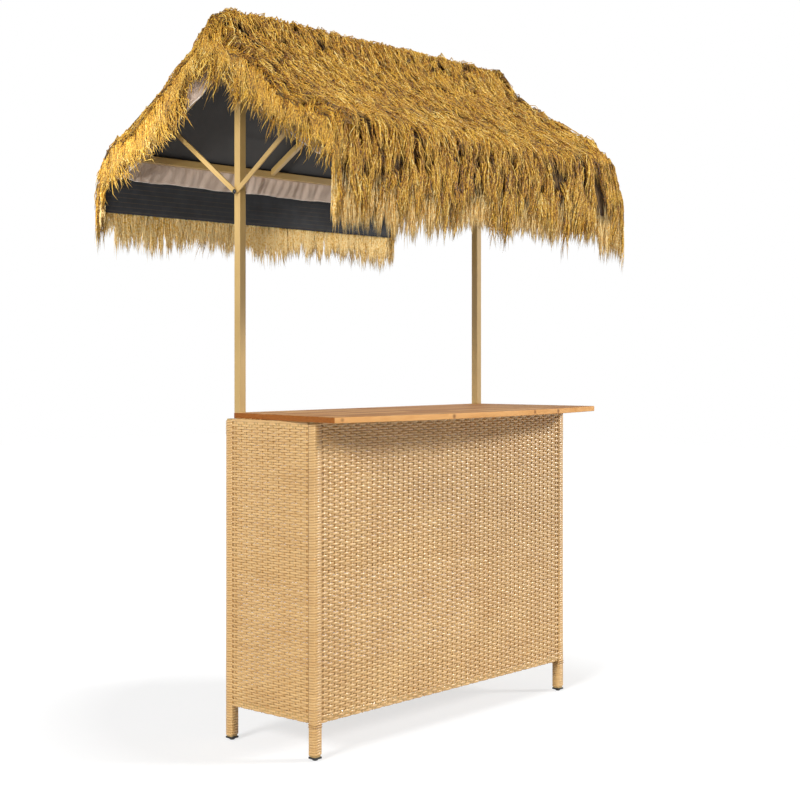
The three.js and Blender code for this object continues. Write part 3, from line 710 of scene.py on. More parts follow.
def sheet_piece(name, columns, rows, place, thick, body_slot, finishes, **facts):
    """A sheet of cloth with its thickness. place gives the point for two shares of the sheet."""
    grid = bmesh.new()
    bmesh.ops.create_grid(grid, x_segments=columns, y_segments=rows, size=0.5, calc_uvs=True)
    grid.loops.layers.uv.verify()
    chart = grid.loops.layers.uv.active
    for v in grid.verts:
        for loop in v.link_loops:
            loop[chart].uv = (v.co.x + 0.5, v.co.y + 0.5)
    for v in grid.verts:
        v.co = place(v.co.x + 0.5, v.co.y + 0.5)
    for face in grid.faces:
        face.smooth = True
    mesh = bpy.data.meshes.new(name)
    grid.to_mesh(mesh)
    grid.free()
    mesh.uv_layers[0].name = "OFBake"
    piece = keep(mesh, name, "hut", body_slot, *finishes)
    wall = piece.modifiers.new("thickness", "SOLIDIFY")
    wall.thickness = thick
    wall.offset = 0
    if len(finishes) > 1:
        wall.material_offset = 1
    return piece


cover_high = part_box("canopy_cover")[1]
ridge_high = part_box("ridge_beam")[1]
eave_low, eave_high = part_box("front_eave_beam")
rafter_low, rafter_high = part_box("left_front_rafter")
COVER_HALF = cover_high.x
COVER_REACH = -eave_low.y + CLEAR
COVER_FALL = (ridge_high.z - eave_high.z) / (COVER_REACH - BEAM_HALF)


def cover_level(y):
    """Underside of the cover over the beams at y."""
    return ridge_high.z + CLEAR - COVER_FALL * max(abs(y) - BEAM_HALF, 0)


def cover_place(along, across):
    """The cover sags a little between the rafters and creases on its slopes."""
    x = COVER_HALF * (2 * along - 1)
    y = COVER_REACH * (2 * across - 1)
    from_middle = abs(x) / rafter_high.x if x < 0 else x / -rafter_low.x
    bay = abs(math.sin(math.pi * min(from_middle, 1)))
    slope = math.sin(math.pi * min(max((abs(y) - BEAM_HALF) / (COVER_REACH - BEAM_HALF), 0), 1))
    crease = COVER_CREASE * math.sin(60 * x + 9 * math.sin(7 * y)) * slope
    return Vector((x, y, cover_level(y) + COVER_LIFT - COVER_SAG * bay * slope + crease))


slope_length = math.hypot(COVER_REACH - BEAM_HALF, ridge_high.z - eave_high.z)
cover = sheet_piece(
    "cover_sheet", 120, 90, cover_place, COVER_THICK, "canopy_cloth", (taupe, charcoal),
    flat=(2 * COVER_HALF, 2 * (slope_length + BEAM_HALF)), held="stretched",
    rests_on=["ridge_beam", "front_eave_beam", "back_eave_beam"],
)
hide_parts("canopy_cover")

PIPING_RADIUS = 0.0019


def piped(name, place, columns):
    """Piping that is sewn along the free edge of a strip."""
    edge = [place(i / columns, 1.0) for i in range(columns + 1)]
    sewn = extruded("edge", round_section(PIPING_RADIUS), [edge])
    keep(sewn, name, "hut", "canopy_cloth", piping)


VALANCE_COLUMNS = 372
VALANCE_DROP = 0.090
VALANCE_FULLNESS = 1.06
CORNER_RISE, CORNER_REACH = 0.045, 0.13
FOLD_DEPTH = 0.0150
FLARE = 0.009
for slope, sign in SLOPES:
    line_y = sign * (COVER_REACH + STRIP_THICK)
    top_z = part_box(f"{slope}_valance")[1].z - CLEAR

    def fold(along, down):
        # broad folds, narrow ones between them and a slow swell, all leaning as they fall
        drift = 1.2 * down * math.sin(31 * along + sign) - 4.0 * down
        return (0.75 + 0.25 * math.sin(13 * along + sign)) * (
            0.68 * math.sin(2 * math.pi * 15 * along + 2.6 * math.sin(17 * along) - drift)
            + 0.36 * math.sin(2 * math.pi * 37 * along + 2.3 * math.sin(11 * along) - 1.6 * drift)
            + 0.25 * math.sin(2 * math.pi * 8.3 * along)
        )

    def valance_place(along, down):
        end = min(along, 1 - along) * 2 * COVER_HALF
        drop = VALANCE_DROP - CORNER_RISE * max(0, 1 - end / CORNER_REACH) ** 2
        drop += (0.0015 * math.sin(23 * along) + 0.001 * math.sin(61 * along)) * down
        swing = fold(along, down) * FOLD_DEPTH * down * (1.35 - down) + FLARE * down
        # the gathers stand closer together at the top than the folds do at the hem
        pucker = 0.0009 * math.sin(2 * math.pi * 92 * along) * (1 - down) ** 2
        y = line_y + sign * (swing + 0.0012 + pucker)
        return Vector((COVER_HALF * (2 * along - 1), y, top_z - drop * down))

    strip = sheet_piece(
        f"{slope}_valance_strip", VALANCE_COLUMNS, 10, valance_place, STRIP_THICK,
        "canopy_cloth", (taupe_painted_lighter,), flat=(2 * COVER_HALF * VALANCE_FULLNESS, VALANCE_DROP),
        held="gathered", rests_on=["cover_sheet"],
    )
    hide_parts(f"{slope}_valance")
    piped(f"{slope}_valance_piping", valance_place, VALANCE_COLUMNS)

HEM_COLUMNS = 160
HEM_DROP = 0.125
HEM_FULLNESS = 1.03
HEM_INSET = 0.0072
PEAK_RISE, PEAK_REACH = 0.030, 0.06
HEM_WAVE = 0.004
HEM_INWARD = 0.012
for side, sign in GABLES:
    hem_x = sign * (COVER_HALF - HEM_INSET)

    def hem_place(along, down):
        y = (COVER_REACH - 0.002) * (2 * along - 1)
        end = min(along, 1 - along) * 2
        drop = HEM_DROP * (1 - 0.35 * max(0, 1 - end / 0.12) ** 2)
        drop -= PEAK_RISE * max(0, 1 - abs(y) / PEAK_REACH)
        wave = HEM_WAVE * math.sin(2 * math.pi * 10 * along) * (0.5 + 0.5 * down * down)
        inward = HEM_INWARD * down**2 * math.sin(math.pi * along)
        return Vector((hem_x + sign * (wave - inward), y, cover_level(y) + 0.0002 - drop * down))

    sheet_piece(
        f"{side}_gable_hem", HEM_COLUMNS, 10, hem_place, STRIP_THICK, "canopy_cloth", (taupe,),
        flat=(2 * slope_length * HEM_FULLNESS, HEM_DROP), held="hung", rests_on=["cover_sheet"],
    )
    piped(f"{side}_gable_piping", hem_place, HEM_COLUMNS)


# Mats. Black woven bands that carry the thatch. One lies over the ridge, and one on each
# slope hangs past the eave as a skirt, quilted with rows of straw-coloured stitches.
MAT_THICK = 0.0022
MAT_CLEAR = 0.0013
RIDGE_MAT_HALF = 0.3408
RIDGE_MAT_FLAT = 0.8
mat_black = Finish("black_mat", Roughness=0.8, Sheen_Weight=0.05)
across = mat_black.place.node("UVMap", {"uv_map": "OFBake"}, {})
u, v = mat_black.parts(across)[:2]
rib = (v * 900).maths("SINE", v * 900) * (u * 1500).maths("SINE", u * 1500)
worn = mat_black.place.noise(22, 4)
ground_tone = (worn.step(0.3, 0.7) * 0.6 + rib * 0.25).between("#17181A", "#303237")
line = (v * 26).maths("FRACT", v * 26)
dash = (u * 210).maths("FRACT", u * 210)
off_line = (line - 0.5).maths("ABSOLUTE", line - 0.5)
stitch = (1 - off_line.step(0.03, 0.06)) * (1 - dash.step(0.45, 0.5))
patchy = mat_black.place.stretched(3, 3, 9).noise(1, 2).step(0.45, 0.6)
mat_black.feed("Base Color", (stitch * patchy * 0.45).between(ground_tone, "#8A6E35"))
mat_black.bump(rib + stitch, 0.4, 0.0006)
MAT_HALF = cover_high.x
MAT_LIFT = 0.0023
SKIRT = [
    (0.343, cover_level(0.343) + MAT_LIFT),
    (0.430, cover_level(0.430) + MAT_LIFT),
    (0.5153, 1.9276),
    (0.5304, 1.9049),
    (0.5409, 1.8596),
    (0.5479, 1.7999),
    (0.5518, 1.7216),
]


class Route:
    """A line through places in the y-z plane, read by the length run along it."""

    def __init__(self, places):
        self.places = np.array(places, float)
        steps = np.hypot(*np.diff(self.places, axis=0).T)
        self.runs = np.concatenate([[0], np.cumsum(steps)])
        self.length = self.runs[-1]

    def at(self, run):
        return np.stack([np.interp(run, self.runs, self.places[:, i]) for i in (0, 1)], -1)

    def direction(self, run):
        ahead = self.at(np.minimum(run + 0.012, self.length)) - self.at(np.maximum(run - 0.012, 0))
        return ahead / np.linalg.norm(ahead, axis=-1, keepdims=True)


skirt_route = Route(SKIRT)
for slope, sign in SLOPES:

    def skirt_place(along, down):
        y, z = skirt_route.at(down * skirt_route.length)
        ripple = 0.0008 * math.sin(40 * along) * max(0, down - 0.5)
        y = sign * (y + MAT_CLEAR + ripple)
        return Vector((MAT_HALF * (2 * along - 1), y, z + MAT_CLEAR))

    mat = sheet_piece(
        f"{slope}_skirt_mat", 120, 26, skirt_place, MAT_THICK, "mat", (mat_black,),
        flat=(2 * MAT_HALF, skirt_route.length), held="laid", rests_on=["cover_sheet"],
    )
    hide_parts(f"{slope}_mat")


def ridge_mat_place(along, across):
    y = RIDGE_MAT_HALF * (2 * across - 1)
    return Vector((MAT_HALF * (2 * along - 1), y, cover_level(y) + MAT_LIFT + MAT_CLEAR))


mat = sheet_piece(
    "ridge_mat_sheet", 100, 40, ridge_mat_place, MAT_THICK, "mat", (mat_black,),
    flat=(2 * MAT_HALF, RIDGE_MAT_FLAT), held="laid", rests_on=["cover_sheet"],
)
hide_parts("ridge_mat")


# Thatch. Three rolls of artificial straw: one over the ridge and one down each slope and
# skirt. Crimped golden strands are tied to the mats in locks, row under row, and the ends
# hang free as a fringe at the eaves and the gables.
chance = np.random.default_rng(7)
ROLL_END = 0.750
MAT_END = 0.734
RIDGE_LEVEL = 2.2323
STRAW_WIDTH = 0.0042
TIP_WIDTH = 0.0032
MOST_TRIANGLES = 198000
STRAND = [(0.5, 0.0), (-0.25, -0.43), (-0.25, 0.43)]
RIDGE_ROUTE = Route(
    [
        (-0.034, 2.291),
        (-0.012, 2.319),
        (0.000, 2.325),
        (0.010, 2.321),
        (0.038, 2.286),
        (0.077, 2.233),
        (0.146, 2.174),
        (0.336, 2.046),
        (0.420, 2.000),
        (0.560, 1.930),
    ]
)
SLOPE_ROUTE = Route(
    [
        (0.320, 2.046),
        (0.403, 2.003),
        (0.467, 1.970),
        (0.528, 1.939),
        (0.549, 1.912),
        (0.557, 1.862),
        (0.563, 1.800),
        (0.563, 1.720),
        (0.556, 1.600),
        (0.550, 1.400),
    ]
)


def straw_finish(name, lift, pale, palest, tip):
    """Straw with painted shade where it is tied, under the locks above, and pale free tips:
    partly their own colour, partly a painted highlight.
    """
    made = Finish(name, Roughness=0.6, Specular_IOR_Level=0.3, Sheen_Weight=0.05)
    shade, reach = made.attribute("shade"), made.attribute("reach")
    drift = made.place.noise(6, 3)
    speckle = made.place.noise(170, 1).step(0.32, 0.68)
    hue = (shade * 0.84 + speckle * 0.42 + drift * 0.24 + lift).ramp(
        [
            (0.02, "#2A1808"),
            (0.22, "#7E4F12"),
            (0.42, "#BE8622"),
            (0.62, "#DDAB35"),
            (0.80, pale),
            (0.95, palest),
        ]
    )
    # Toward the free tips a painted highlight joins their own paler colour; at the roots, painted
    # shade for the locks above.
    tips_pale_and_highlit = reach.step(0.55, 1.0, 0.0, 0.34).between(hue, tip)
    made.feed("Base Color", reach.step(0.0, 0.4, 0.75, 0.0).between(tips_pale_and_highlit, "#3A250B"))
    return made


straw = straw_finish("golden_straw", -0.31, "#EFC659", "#FCE39A", "#F2D990")
# The fringe takes a lighter, warmer copy of the straw: painted light, for the light that comes
# through the hanging strands.
fringe_straw_painted_light = straw_finish("fringe_straw_painted_light", -0.15, "#F4C46C", "#FFE2A0", "#FFDFA0")
# The mass under the loose strands is dark: painted shade of the straw deep in the rolls, and on
# the skirts nearly black, the black of the mat that shows through, with painted shade.
mass_finishes = {}
for name, dark, light in (
    ("matted_straw", "#35230F", "#8C682C"),
    ("matted_skirt", "#0F0F10", "#3A2A12"),
):
    made = Finish(name, Roughness=0.9)
    fibre = made.place.stretched(160, 30, 30).noise(1, 4, 0.7)
    made.feed("Base Color", fibre.step(0.45, 0.8).between(dark, light))
    made.bump(fibre, 0.8, 0.004)
    mass_finishes[name] = made


def ramped(value, start, width, most=1):
    """Rises from 0 at start, by 1 for each width, and stays at most."""
    return np.clip((value - start) / width, 0, most)


def settled(lines):
    """Lays straw on the rolls: round at their ends, and outside the mats that carry it."""
    lines = lines.copy()
    x, y, z = (lines[..., i] for i in range(3))
    past = np.maximum(np.abs(x) - ROLL_END, 0)
    x -= np.sign(x) * past * 0.85
    z -= past * 0.7
    z -= 0.010 * ramped(np.abs(x), 0.715, 0.035) ** 2 * (z > 1.95)
    # the front slope swells near its right end, and the ridge falls toward the left gable
    shoulder = 0.020 * np.exp(-(((y + 0.34) / 0.12) ** 2))
    shoulder += 0.024 * np.exp(-(((y + 0.47) / 0.06) ** 2))
    z += shoulder * ramped(x, 0.58, 0.10)
    at_end = ramped(np.abs(x), 0.665, 0.085, 1.2)
    high = ramped(z, 2.16, 0.12)
    z -= np.where(x < 0, 0.056, 0.0) * at_end**1.3 * high
    z += 0.007 * high * (1 - np.clip(at_end, 0, 1))
    # toward its ends the front slope is a little fuller, and the back one thinner at the left
    on_slope = ramped(np.abs(y), 0.08, 0.14) * (z > 1.9)
    outer = ramped(np.abs(x), np.where(y > 0, 0.60, 0.40), 0.1)
    back_fade = ramped(-y, -0.50, 0.08) * (x < 0)
    z -= np.where(y > 0, 0.026 * back_fade, -0.008) * on_slope * outer
    # the corners of the skirts are drawn in
    eave = ramped(z, 1.78, 0.14) * ramped(np.abs(y), 0.45, 0.06)
    corner = np.where((x > 0) & (y < 0), 0.050, 0.020)
    y -= 0.010 * ramped(-x, 0.60, 0.12) * (y > 0.5)
    x -= np.sign(x) * corner * eave * ramped(np.abs(x), 0.62, 0.12)
    y -= np.sign(y) * np.maximum(np.abs(y) - 0.572, 0) * 0.8
    # nothing dips into the mats
    distance = np.abs(y)
    bed = RIDGE_LEVEL - COVER_FALL * np.maximum(distance - BEAM_HALF, 0) + 0.009
    over_mat = (np.abs(x) < MAT_END) & (distance < 0.515)
    z[...] = np.where(over_mat, np.maximum(z, bed), z)
    hang_z, hang_y = np.array(SKIRT[::-1]).T[::-1]
    beyond = np.interp(z, hang_z, hang_y) + 0.0055
    hanging = (np.abs(x) < MAT_END) & (z < 1.93) & (distance > 0.5)
    y[...] = np.where(hanging, np.sign(y) * np.maximum(distance, beyond), y)
    return lines


def hair(name, lines, widths, shades, finish=straw):
    """Strands of straw, side by side in as many pieces as the limit of triangles asks for."""
    lines = settled(lines)
    most = MOST_TRIANGLES // (6 * (lines.shape[1] - 2))
    groups = np.array_split(np.argsort(lines[:, 0, 0]), math.ceil(len(lines) / most))
    for number, group in enumerate(groups):
        label = f"{name}_{number + 1}" if len(groups) > 1 else name
        one_hair(label, lines[group], widths[group], shades[group], finish)


def one_hair(name, lines, widths, shades, finish):
    """One piece of straw. Each strand is closed to a point and has its own place on the map."""
    count, points = lines.shape[:2]
    mesh = extruded(name, STRAND, lines, widths, twist="MINIMUM", closed_ends=False)
    numbers = np.arange(len(mesh.vertices))
    for label, values in (
        ("shade", shades[numbers // (points * 3)]),
        ("reach", (numbers % (points * 3)) // 3 / (points - 1)),
    ):
        layer = mesh.attributes.new(label, "FLOAT", "POINT")
        layer.data.foreach_set("value", values.astype(np.float32))
    chart = mesh.uv_layers[0]
    chart.name = "OFBake"
    uv = np.empty(len(mesh.loops) * 2, np.float32)
    chart.data.foreach_get("uv", uv)
    uv = uv.reshape(-1, 2)
    cells = math.ceil(math.sqrt(count))
    cell = np.arange(len(uv)) // (len(uv) // count)
    uv = np.clip(uv, 0, 1) * 0.8 + 0.1 + np.stack([cell % cells, cell // cells], 1)
    chart.data.foreach_set("uv", (uv / cells).astype(np.float32).ravel())
    shape = bmesh.new()
    shape.from_mesh(mesh)
    bmesh.ops.remove_doubles(shape, verts=shape.verts, dist=2e-6)
    shape.to_mesh(mesh)
    shape.free()
    return keep(mesh, name, "hut", "thatch", finish)


def straw_shades(lock_shade, height):
    """Strands deep in a lock are painted darker than the ones on top of it, as shade. Each
    strand's own share is wide: partly its own tone, partly painted highlight and shade.
    """
    own = chance.beta(0.75, 0.8, len(lock_shade))
    return np.clip(0.24 * lock_shade + 0.50 * own + 0.30 * height - 0.02, 0, 1)


def strands_of(locks, per, points=5):
    """The lock of each strand, the number of strands, and shares of a strand's length."""
    of = np.repeat(np.arange(locks), per)
    return of, len(of), np.linspace(0, 1, points)[None, :]


STRAY_SHARE = 0.36
SWAY_SHARE, SWAYS = 0.35, 22
LOCK_CROWN = 0.026
CRIMP, FLUFF = 0.0052, 0.0035
SLIT_HEAD, SLIT_FOOT = 0.588, 0.622
SLIT_TOP = 1.882
SLIT_LEAN = 0.26
SLIT_HALF = 0.024


def locks_down(route, sign, first, last, pitch, spacing, per, size, points=5):
    """Locks tied in rows down a route, as domed bundles that narrow to their tips. Most keep
    to the line of the ones above them, so that dark partings run down between them."""
    streams = np.arange(-ROLL_END, ROLL_END, spacing)
    streams = streams + chance.uniform(-0.3, 0.3, len(streams)) * spacing
    phase = chance.uniform(0, 6.3, len(streams))
    xs, runs, leans = [], [], []
    for row in np.arange(first, last, pitch):
        run = row + chance.uniform(-0.5, 0.5, len(streams)) * pitch
        x = streams + SWAY_SHARE * spacing * np.sin(SWAYS * run + phase)
        x = x + chance.normal(0, 0.10, len(streams)) * spacing
        stray = chance.uniform(0, 1, len(streams)) < STRAY_SHARE
        xs.append(np.where(stray, chance.uniform(-ROLL_END, ROLL_END, len(streams)), x))
        runs.append(run)
        lean = SWAY_SHARE * spacing * SWAYS * np.cos(SWAYS * run + phase)
        leans.append(lean + chance.normal(0, 0.07, len(streams)))
    x0, run0, lean = np.concatenate(xs), np.concatenate(runs), np.concatenate(leans)
    count = len(x0)
    length = size * chance.uniform(0.6, 1.5, count)
    crown = LOCK_CROWN * chance.uniform(0.35, 1.0, count)
    half = spacing * chance.uniform(0.34, 0.48, count)
    lock_shade = chance.beta(1.6, 1.5, count)
    of, total, share = strands_of(count, per, points)
    side = chance.uniform(-1, 1, total)
    height = chance.uniform(0, 1, total)
    own = (length[of] * chance.uniform(0.6, 1.05, total))[:, None]
    begin = (run0[of] + chance.uniform(-0.015, 0.010, total))[:, None]
    run = np.maximum(begin + own * share, 0)
    place, flow = route.at(run), route.direction(run)
    narrowing = 1 - 0.5 * share**1.1
    crimp = chance.normal(0, CRIMP, (total, points)) * np.minimum(share * 4, 1)
    rise = chance.normal(0, FLUFF, (total, points)) * np.minimum(share * 4, 1)
    x = x0[of][:, None] + (lean[of] + chance.normal(0, 0.09, total))[:, None] * own * share
    x = x + (side * half[of])[:, None] * narrowing + crimp
    dome = (crown[of] * height * (1 - 0.6 * side**2))[:, None]
    lift = -0.012 + np.minimum(share * 5, 1) * (0.013 + dome * (1 - 0.35 * share)) + rise
    line = np.stack(
        [x, sign * (place[..., 0] - flow[..., 1] * lift), place[..., 1] + flow[..., 0] * lift], -1
    )
    taper = np.array([0.0] + list(np.linspace(1.0, 0.6, points - 2)) + [0.0])
    widths = STRAW_WIDTH * chance.uniform(0.6, 1.25, total)[:, None] * taper
    # strands at the sides of a lock are painted darker, as shade in the partings between locks
    shades = straw_shades(lock_shade[of], height) - 0.24 * np.abs(side) ** 1.5 + 0.06
    return line, widths, np.clip(shades, 0, 1)


def part_at_slit(line, widths, shades):
    """Leaves the narrow slit near the right end of the front skirt, where the mat shows."""
    x, z = line[..., 0], line[..., 2]
    middle = SLIT_HEAD + (1.877 - z) * SLIT_LEAN
    half = SLIT_HALF - 0.014 * ramped(z, 1.82, 0.06)
    inside = (np.abs(x - middle) < half) & (z < SLIT_TOP) & (z > 1.66)
    stay = ~inside.any(axis=1)
    return line[stay], widths[stay], shades[stay]


for slope, sign in SLOPES:
    rows = dict(first=0.010, last=0.470, pitch=0.034, spacing=0.029, per=15, size=0.105)
    hair(f"ridge_locks_{slope}", *locks_down(RIDGE_ROUTE, sign, **rows))
    rows = dict(first=0.0, last=0.20, pitch=0.036, spacing=0.029, per=17, size=0.120)
    hair(f"slope_locks_{slope}", *locks_down(SLOPE_ROUTE, sign, **rows))
    rows = dict(first=0.21, last=0.42, pitch=0.040, spacing=0.034, per=21, size=0.130)
    down = locks_down(SLOPE_ROUTE, sign, **rows)
    if slope == "front":
        down = part_at_slit(*down)
    hair(f"skirt_locks_{slope}", *down)


MAT_FOOT = 1.722
FRINGE_OUT = 0.5655
HALF_LOCK = 0.62


def fringe(sign):
    """Free ends of a skirt, soft and blunt, in two layers that hang below the mat."""
    lines, widths, shades = [], [], []
    taper = np.array([0.0, 1.0, 1.0, 0.9, 0.0])
    for layer, spacing in ((0.0, 0.024), (-0.009, 0.029)):
        locks = np.arange(-ROLL_END + 0.006, ROLL_END, spacing)
        locks = locks + chance.uniform(-0.006, 0.006, len(locks))
        reach = 0.080 + 0.052 * chance.beta(1.8, 1.8, len(locks))
        reach = reach + 0.012 * np.sin(9 * locks + sign) + 0.010 * np.sin(23 * locks)
        if sign < 0:
            reach = reach + 0.028 * (locks < -0.27) + 0.070 * ramped(locks, 0.60, 0.05)
            reach = reach - 0.012 * (locks > 0.0) * (locks < 0.55)
        else:
            reach = reach + 0.024 - 0.060 * (locks < -0.67) - 0.020 * (locks < -0.71)
        lean = chance.normal(0, 0.010, len(locks))
        lock_shade = chance.beta(3, 2.2, len(locks))
        of, total, share = strands_of(len(locks), 32)
        ease = share**1.4
        start = locks[of] + chance.uniform(-HALF_LOCK, HALF_LOCK, total) * spacing
        away = np.abs(start - locks[of]) / (HALF_LOCK * spacing)
        tip = start + (locks[of] - start) * 0.45 + lean[of] + chance.normal(0, 0.006, total)
        top = 1.765 + chance.uniform(-0.035, 0.03, total)
        if sign < 0:
            top = np.where(np.abs(start - SLIT_FOOT) < 0.020, 1.738, top)
        low = MAT_FOOT - reach[of] * chance.uniform(0.5, 1.05, total) * (1 - 0.25 * away**2)
        shape = (total, len(taper))
        wander = chance.normal(0, 0.0030, shape)
        out = FRINGE_OUT + layer + chance.uniform(-0.005, 0.006, (total, 1)) - 0.010 * ease
        line = np.stack(
            [
                start[:, None] * (1 - ease) + tip[:, None] * ease + wander,
                sign * out,
                top[:, None] * (1 - share) + low[:, None] * share,
            ],
            -1,
        )
        line[..., 1] += chance.normal(0, 0.0015, shape)
        lines.append(line)
        widths.append(TIP_WIDTH * chance.uniform(0.7, 1.2, total)[:, None] * taper)
        own = chance.beta(1.3, 1.3, total)
        # fringe strands start from a high shade: painted light on the hanging ends
        shades.append(np.clip(0.58 + 0.20 * lock_shade[of] + 0.38 * own, 0, 1))
    return np.concatenate(lines), np.concatenate(widths), np.concatenate(shades)


for slope, sign in SLOPES:
    hair(f"fringe_{slope}", *fringe(sign), finish=fringe_straw_painted_light)

over_ridge = [(y, z + 0.006) for y, z in RIDGE_ROUTE.places[2:7]]
TOP_AT_GABLE = Route(over_ridge + list(map(tuple, SLOPE_ROUTE.places[:5])))
GABLE_FACE = 0.738
HALF_CLUMP = 0.0130


def gable_locks(sign_x):
    """Straw at a gable: it comes over the end of the rolls and hangs in clumps below them."""
    lines, widths, shades = [], [], []
    taper = np.array([0.0, 1.0, 1.0, 0.95, 0.8, 0.0])
    bend = [0, 0.25, 0.5, 1]
    for sign in (-1, 1):
        for layer, spacing, most in ((0, 0.021, 30), (1, 0.025, 24), (2, 0.019, 28)):
            y = np.arange(0.002, 0.566, spacing)
            y = y + chance.uniform(-0.007, 0.007, len(y))
            count = len(y)
            top = np.interp(y, *TOP_AT_GABLE.places.T) - 0.004
            hem = RIDGE_LEVEL - COVER_FALL * np.maximum(np.minimum(y, COVER_REACH) - BEAM_HALF, 0)
            hang = chance.uniform(0.05, 0.18, count) + 0.03 * (y < 0.3)
            if sign > 0:
                hang = np.where(y < 0.13, chance.uniform(0.06, 0.11, count), hang + 0.045)
            lean = chance.normal(0.004, 0.026, count)
            lock_shade = chance.beta(1.6, 1.5, count)
            of, total, share = strands_of(count, most, len(taper))
            side = chance.uniform(-1, 1, total)
            height = chance.uniform(0, 1, total)
            low = hem[of] - hang[of] * chance.uniform(0.7, 1.0, total)
            swerve = np.clip(chance.normal(0, 0.42, total), -0.8, 0.8)
            if layer == 2:
                swerve = swerve * 0.45
                size = chance.uniform(0.05, 0.13, total)
                crest = chance.uniform(-0.002, 0.020, total)[:, None]
                x = np.interp(share, bend, [0.688, 0.728, 0.757, 0.751]) + 0.004 * height[:, None]
                z = top[of][:, None] + crest * np.interp(share, bend, [0.3, 1, 0.3, 0])
                z = z - size[:, None] * np.interp(share, bend, [0, 0, 0.25, 1])
            else:
                start = top[of] - chance.uniform(0, 1, total) ** 0.9 * (top[of] - hem[of] + 0.05)
                size = np.minimum(chance.uniform(0.07, 0.15, total), start - low)
                size = np.maximum(size, 0.035)
                x = GABLE_FACE - 0.012 * layer + 0.013 * height[:, None] - 0.014 * (1 - share) ** 2
                x = x + 0.010 * np.sin(share * 3.1) * height[:, None]
                z = start[:, None] - size[:, None] * share
            y_here = y[of][:, None] + (lean[of] + swerve * size)[:, None] * share
            y_here = y_here + (side * HALF_CLUMP)[:, None] * (1 - 0.4 * share)
            shape = (total, len(taper))
            line = np.stack(
                [
                    sign_x * (x + chance.normal(0, 0.0030, shape)),
                    sign * (y_here + chance.normal(0, 0.0058, shape)),
                    z + chance.normal(0, 0.0025, shape),
                ],
                -1,
            )
            lines.append(line)
            widths.append(STRAW_WIDTH * chance.uniform(0.6, 1.1, total)[:, None] * taper)
            # gable straw is painted lighter, as light on the ends of the roof, and darker toward
            # the edges of its clumps, as painted shade
            tone = straw_shades(lock_shade[of], height) + 0.12 - 0.18 * np.abs(side) ** 1.5
            shades.append(np.clip(tone, 0, 1))
    return np.concatenate(lines), np.concatenate(widths), np.concatenate(shades)


def corner_locks(sign_x, sign):
    """Locks down the end of a skirt, over the edge of the mat."""
    z0 = np.arange(1.82 if sign_x < 0 < sign else 1.76, 1.955, 0.016)
    z0 = np.repeat(z0, 2) + chance.uniform(-0.006, 0.006, 2 * len(z0))
    count = len(z0)
    y0 = chance.uniform(0.550, 0.566, count) - 1.6 * np.maximum(z0 - 1.922, 0)
    size = chance.uniform(0.10, 0.155, count)
    lock_shade = chance.beta(2.3, 2.0, count)
    of, total, share = strands_of(count, 24)
    shape = (total, share.size)
    side = chance.uniform(-1, 1, total)[:, None]
    height = chance.uniform(0, 1, total)
    narrowing = 1 - 0.6 * share**1.2
    x = 0.735 + 0.014 * np.minimum(share * 3, 1) * height[:, None]
    x = x + chance.normal(0, 0.0025, shape)
    y = y0[of][:, None] + side * 0.012 * narrowing + chance.normal(0, 0.0025, shape)
    own = (size[of] * chance.uniform(0.6, 1.05, total))[:, None]
    z = z0[of][:, None] - own * share
    line = np.stack([sign_x * x, sign * y, z], -1)
    taper = np.array([0.0, 1.0, 0.9, 0.7, 0.0])
    widths = STRAW_WIDTH * chance.uniform(0.6, 1.2, total)[:, None] * taper
    return line, widths, straw_shades(lock_shade[of], height)


for side, sign_x in GABLES:
    hair(f"gable_locks_{side}", *gable_locks(sign_x))
    for slope, sign in SLOPES:
        hair(f"{slope}_{side}_corner_locks", *corner_locks(sign_x, sign))


MASS_END = 0.735
ROUNDED_FROM = 0.66
ROUNDED_ABOVE, ROUNDED_OVER, ROUNDED_BY = 2.24, 0.04, 0.05
SKIRT_LEVEL = 1.925


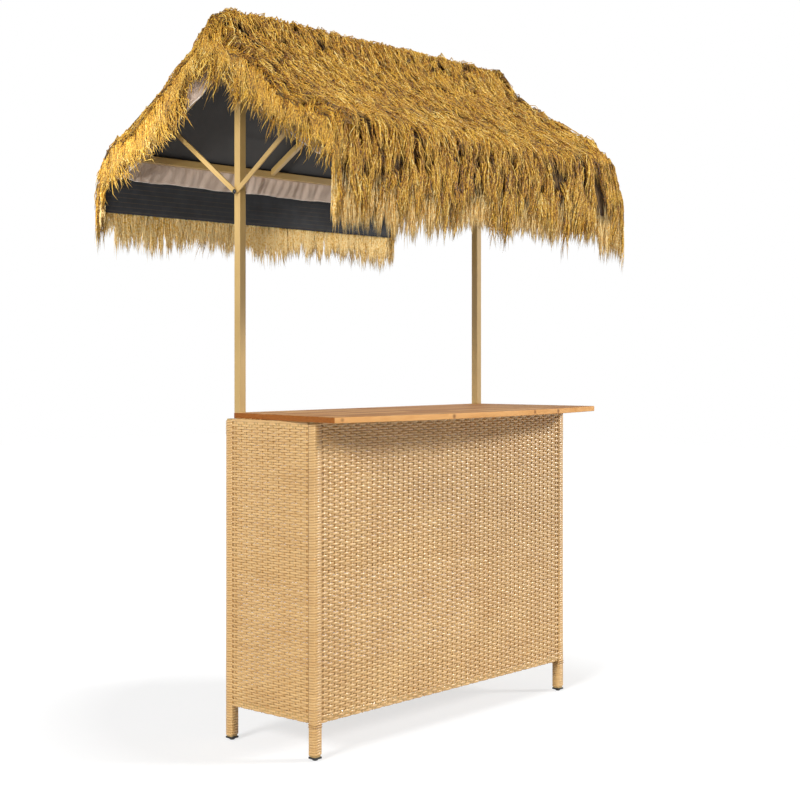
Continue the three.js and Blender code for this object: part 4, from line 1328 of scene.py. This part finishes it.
def matted(name, section, nodes_replaced):
    """The matted mass under the loose strands, drawn from end to end along the roof."""
    mass = bmesh.new()
    corners = [mass.verts.new((-MASS_END, y, z)) for y, z in section]
    face = mass.faces.new(corners)
    grown = bmesh.ops.extrude_face_region(mass, geom=[face])
    moved = [g for g in grown["geom"] if isinstance(g, bmesh.types.BMVert)]
    bmesh.ops.translate(mass, verts=moved, vec=(2 * MASS_END, 0, 0))
    for place in (-ROUNDED_FROM, ROUNDED_FROM):
        everything = mass.verts[:] + mass.edges[:] + mass.faces[:]
        bmesh.ops.bisect_plane(mass, geom=everything, plane_co=(place, 0, 0), plane_no=(1, 0, 0))
    for v in mass.verts:
        if abs(v.co.x) > (ROUNDED_FROM + MASS_END) / 2 and v.co.z > ROUNDED_ABOVE:
            v.co.z -= ROUNDED_BY * min((v.co.z - ROUNDED_ABOVE) / ROUNDED_OVER, 1)
    bmesh.ops.recalc_face_normals(mass, faces=mass.faces)
    for face in mass.faces:
        face.material_index = 1 if face.calc_center_median().z < SKIRT_LEVEL else 0
    finishes = (mass_finishes["matted_straw"], mass_finishes["matted_skirt"])
    return keep(mass, name, "hut", "thatch", *finishes, stands_for=nodes_replaced)


ridge_outer = [(0.0, 2.306), (0.030, 2.268), (0.068, 2.218), (0.140, 2.161), (0.336, 2.042)]
ridge_inner = [(0.338, 2.0405), (0.0125, 2.2395)]
section = ridge_outer + ridge_inner
section += [(-y, z) for y, z in reversed(ridge_inner)]
section += [(-y, z) for y, z in reversed(ridge_outer[1:])]
matted("ridge_mass", section, ["ridge_thatch"])
skirt_outer = [(0.346, 2.036), (0.401, 1.999), (0.464, 1.9655), (0.525, 1.934)]
skirt_outer += [(0.545, 1.908), (0.553, 1.862), (0.5585, 1.800), (0.5590, 1.724)]
skirt_inner = [(0.5565, 1.722), (0.5525, 1.800), (0.5455, 1.860), (0.5350, 1.906)]
skirt_inner += [(0.5190, 1.930), (0.4640, 1.9635), (0.4000, 1.9985), (0.3460, 2.0345)]
for slope, sign in SLOPES:
    section = [(sign * y, z) for y, z in skirt_outer + skirt_inner]
    matted(f"{slope}_mass", section, [f"{slope}_thatch"])
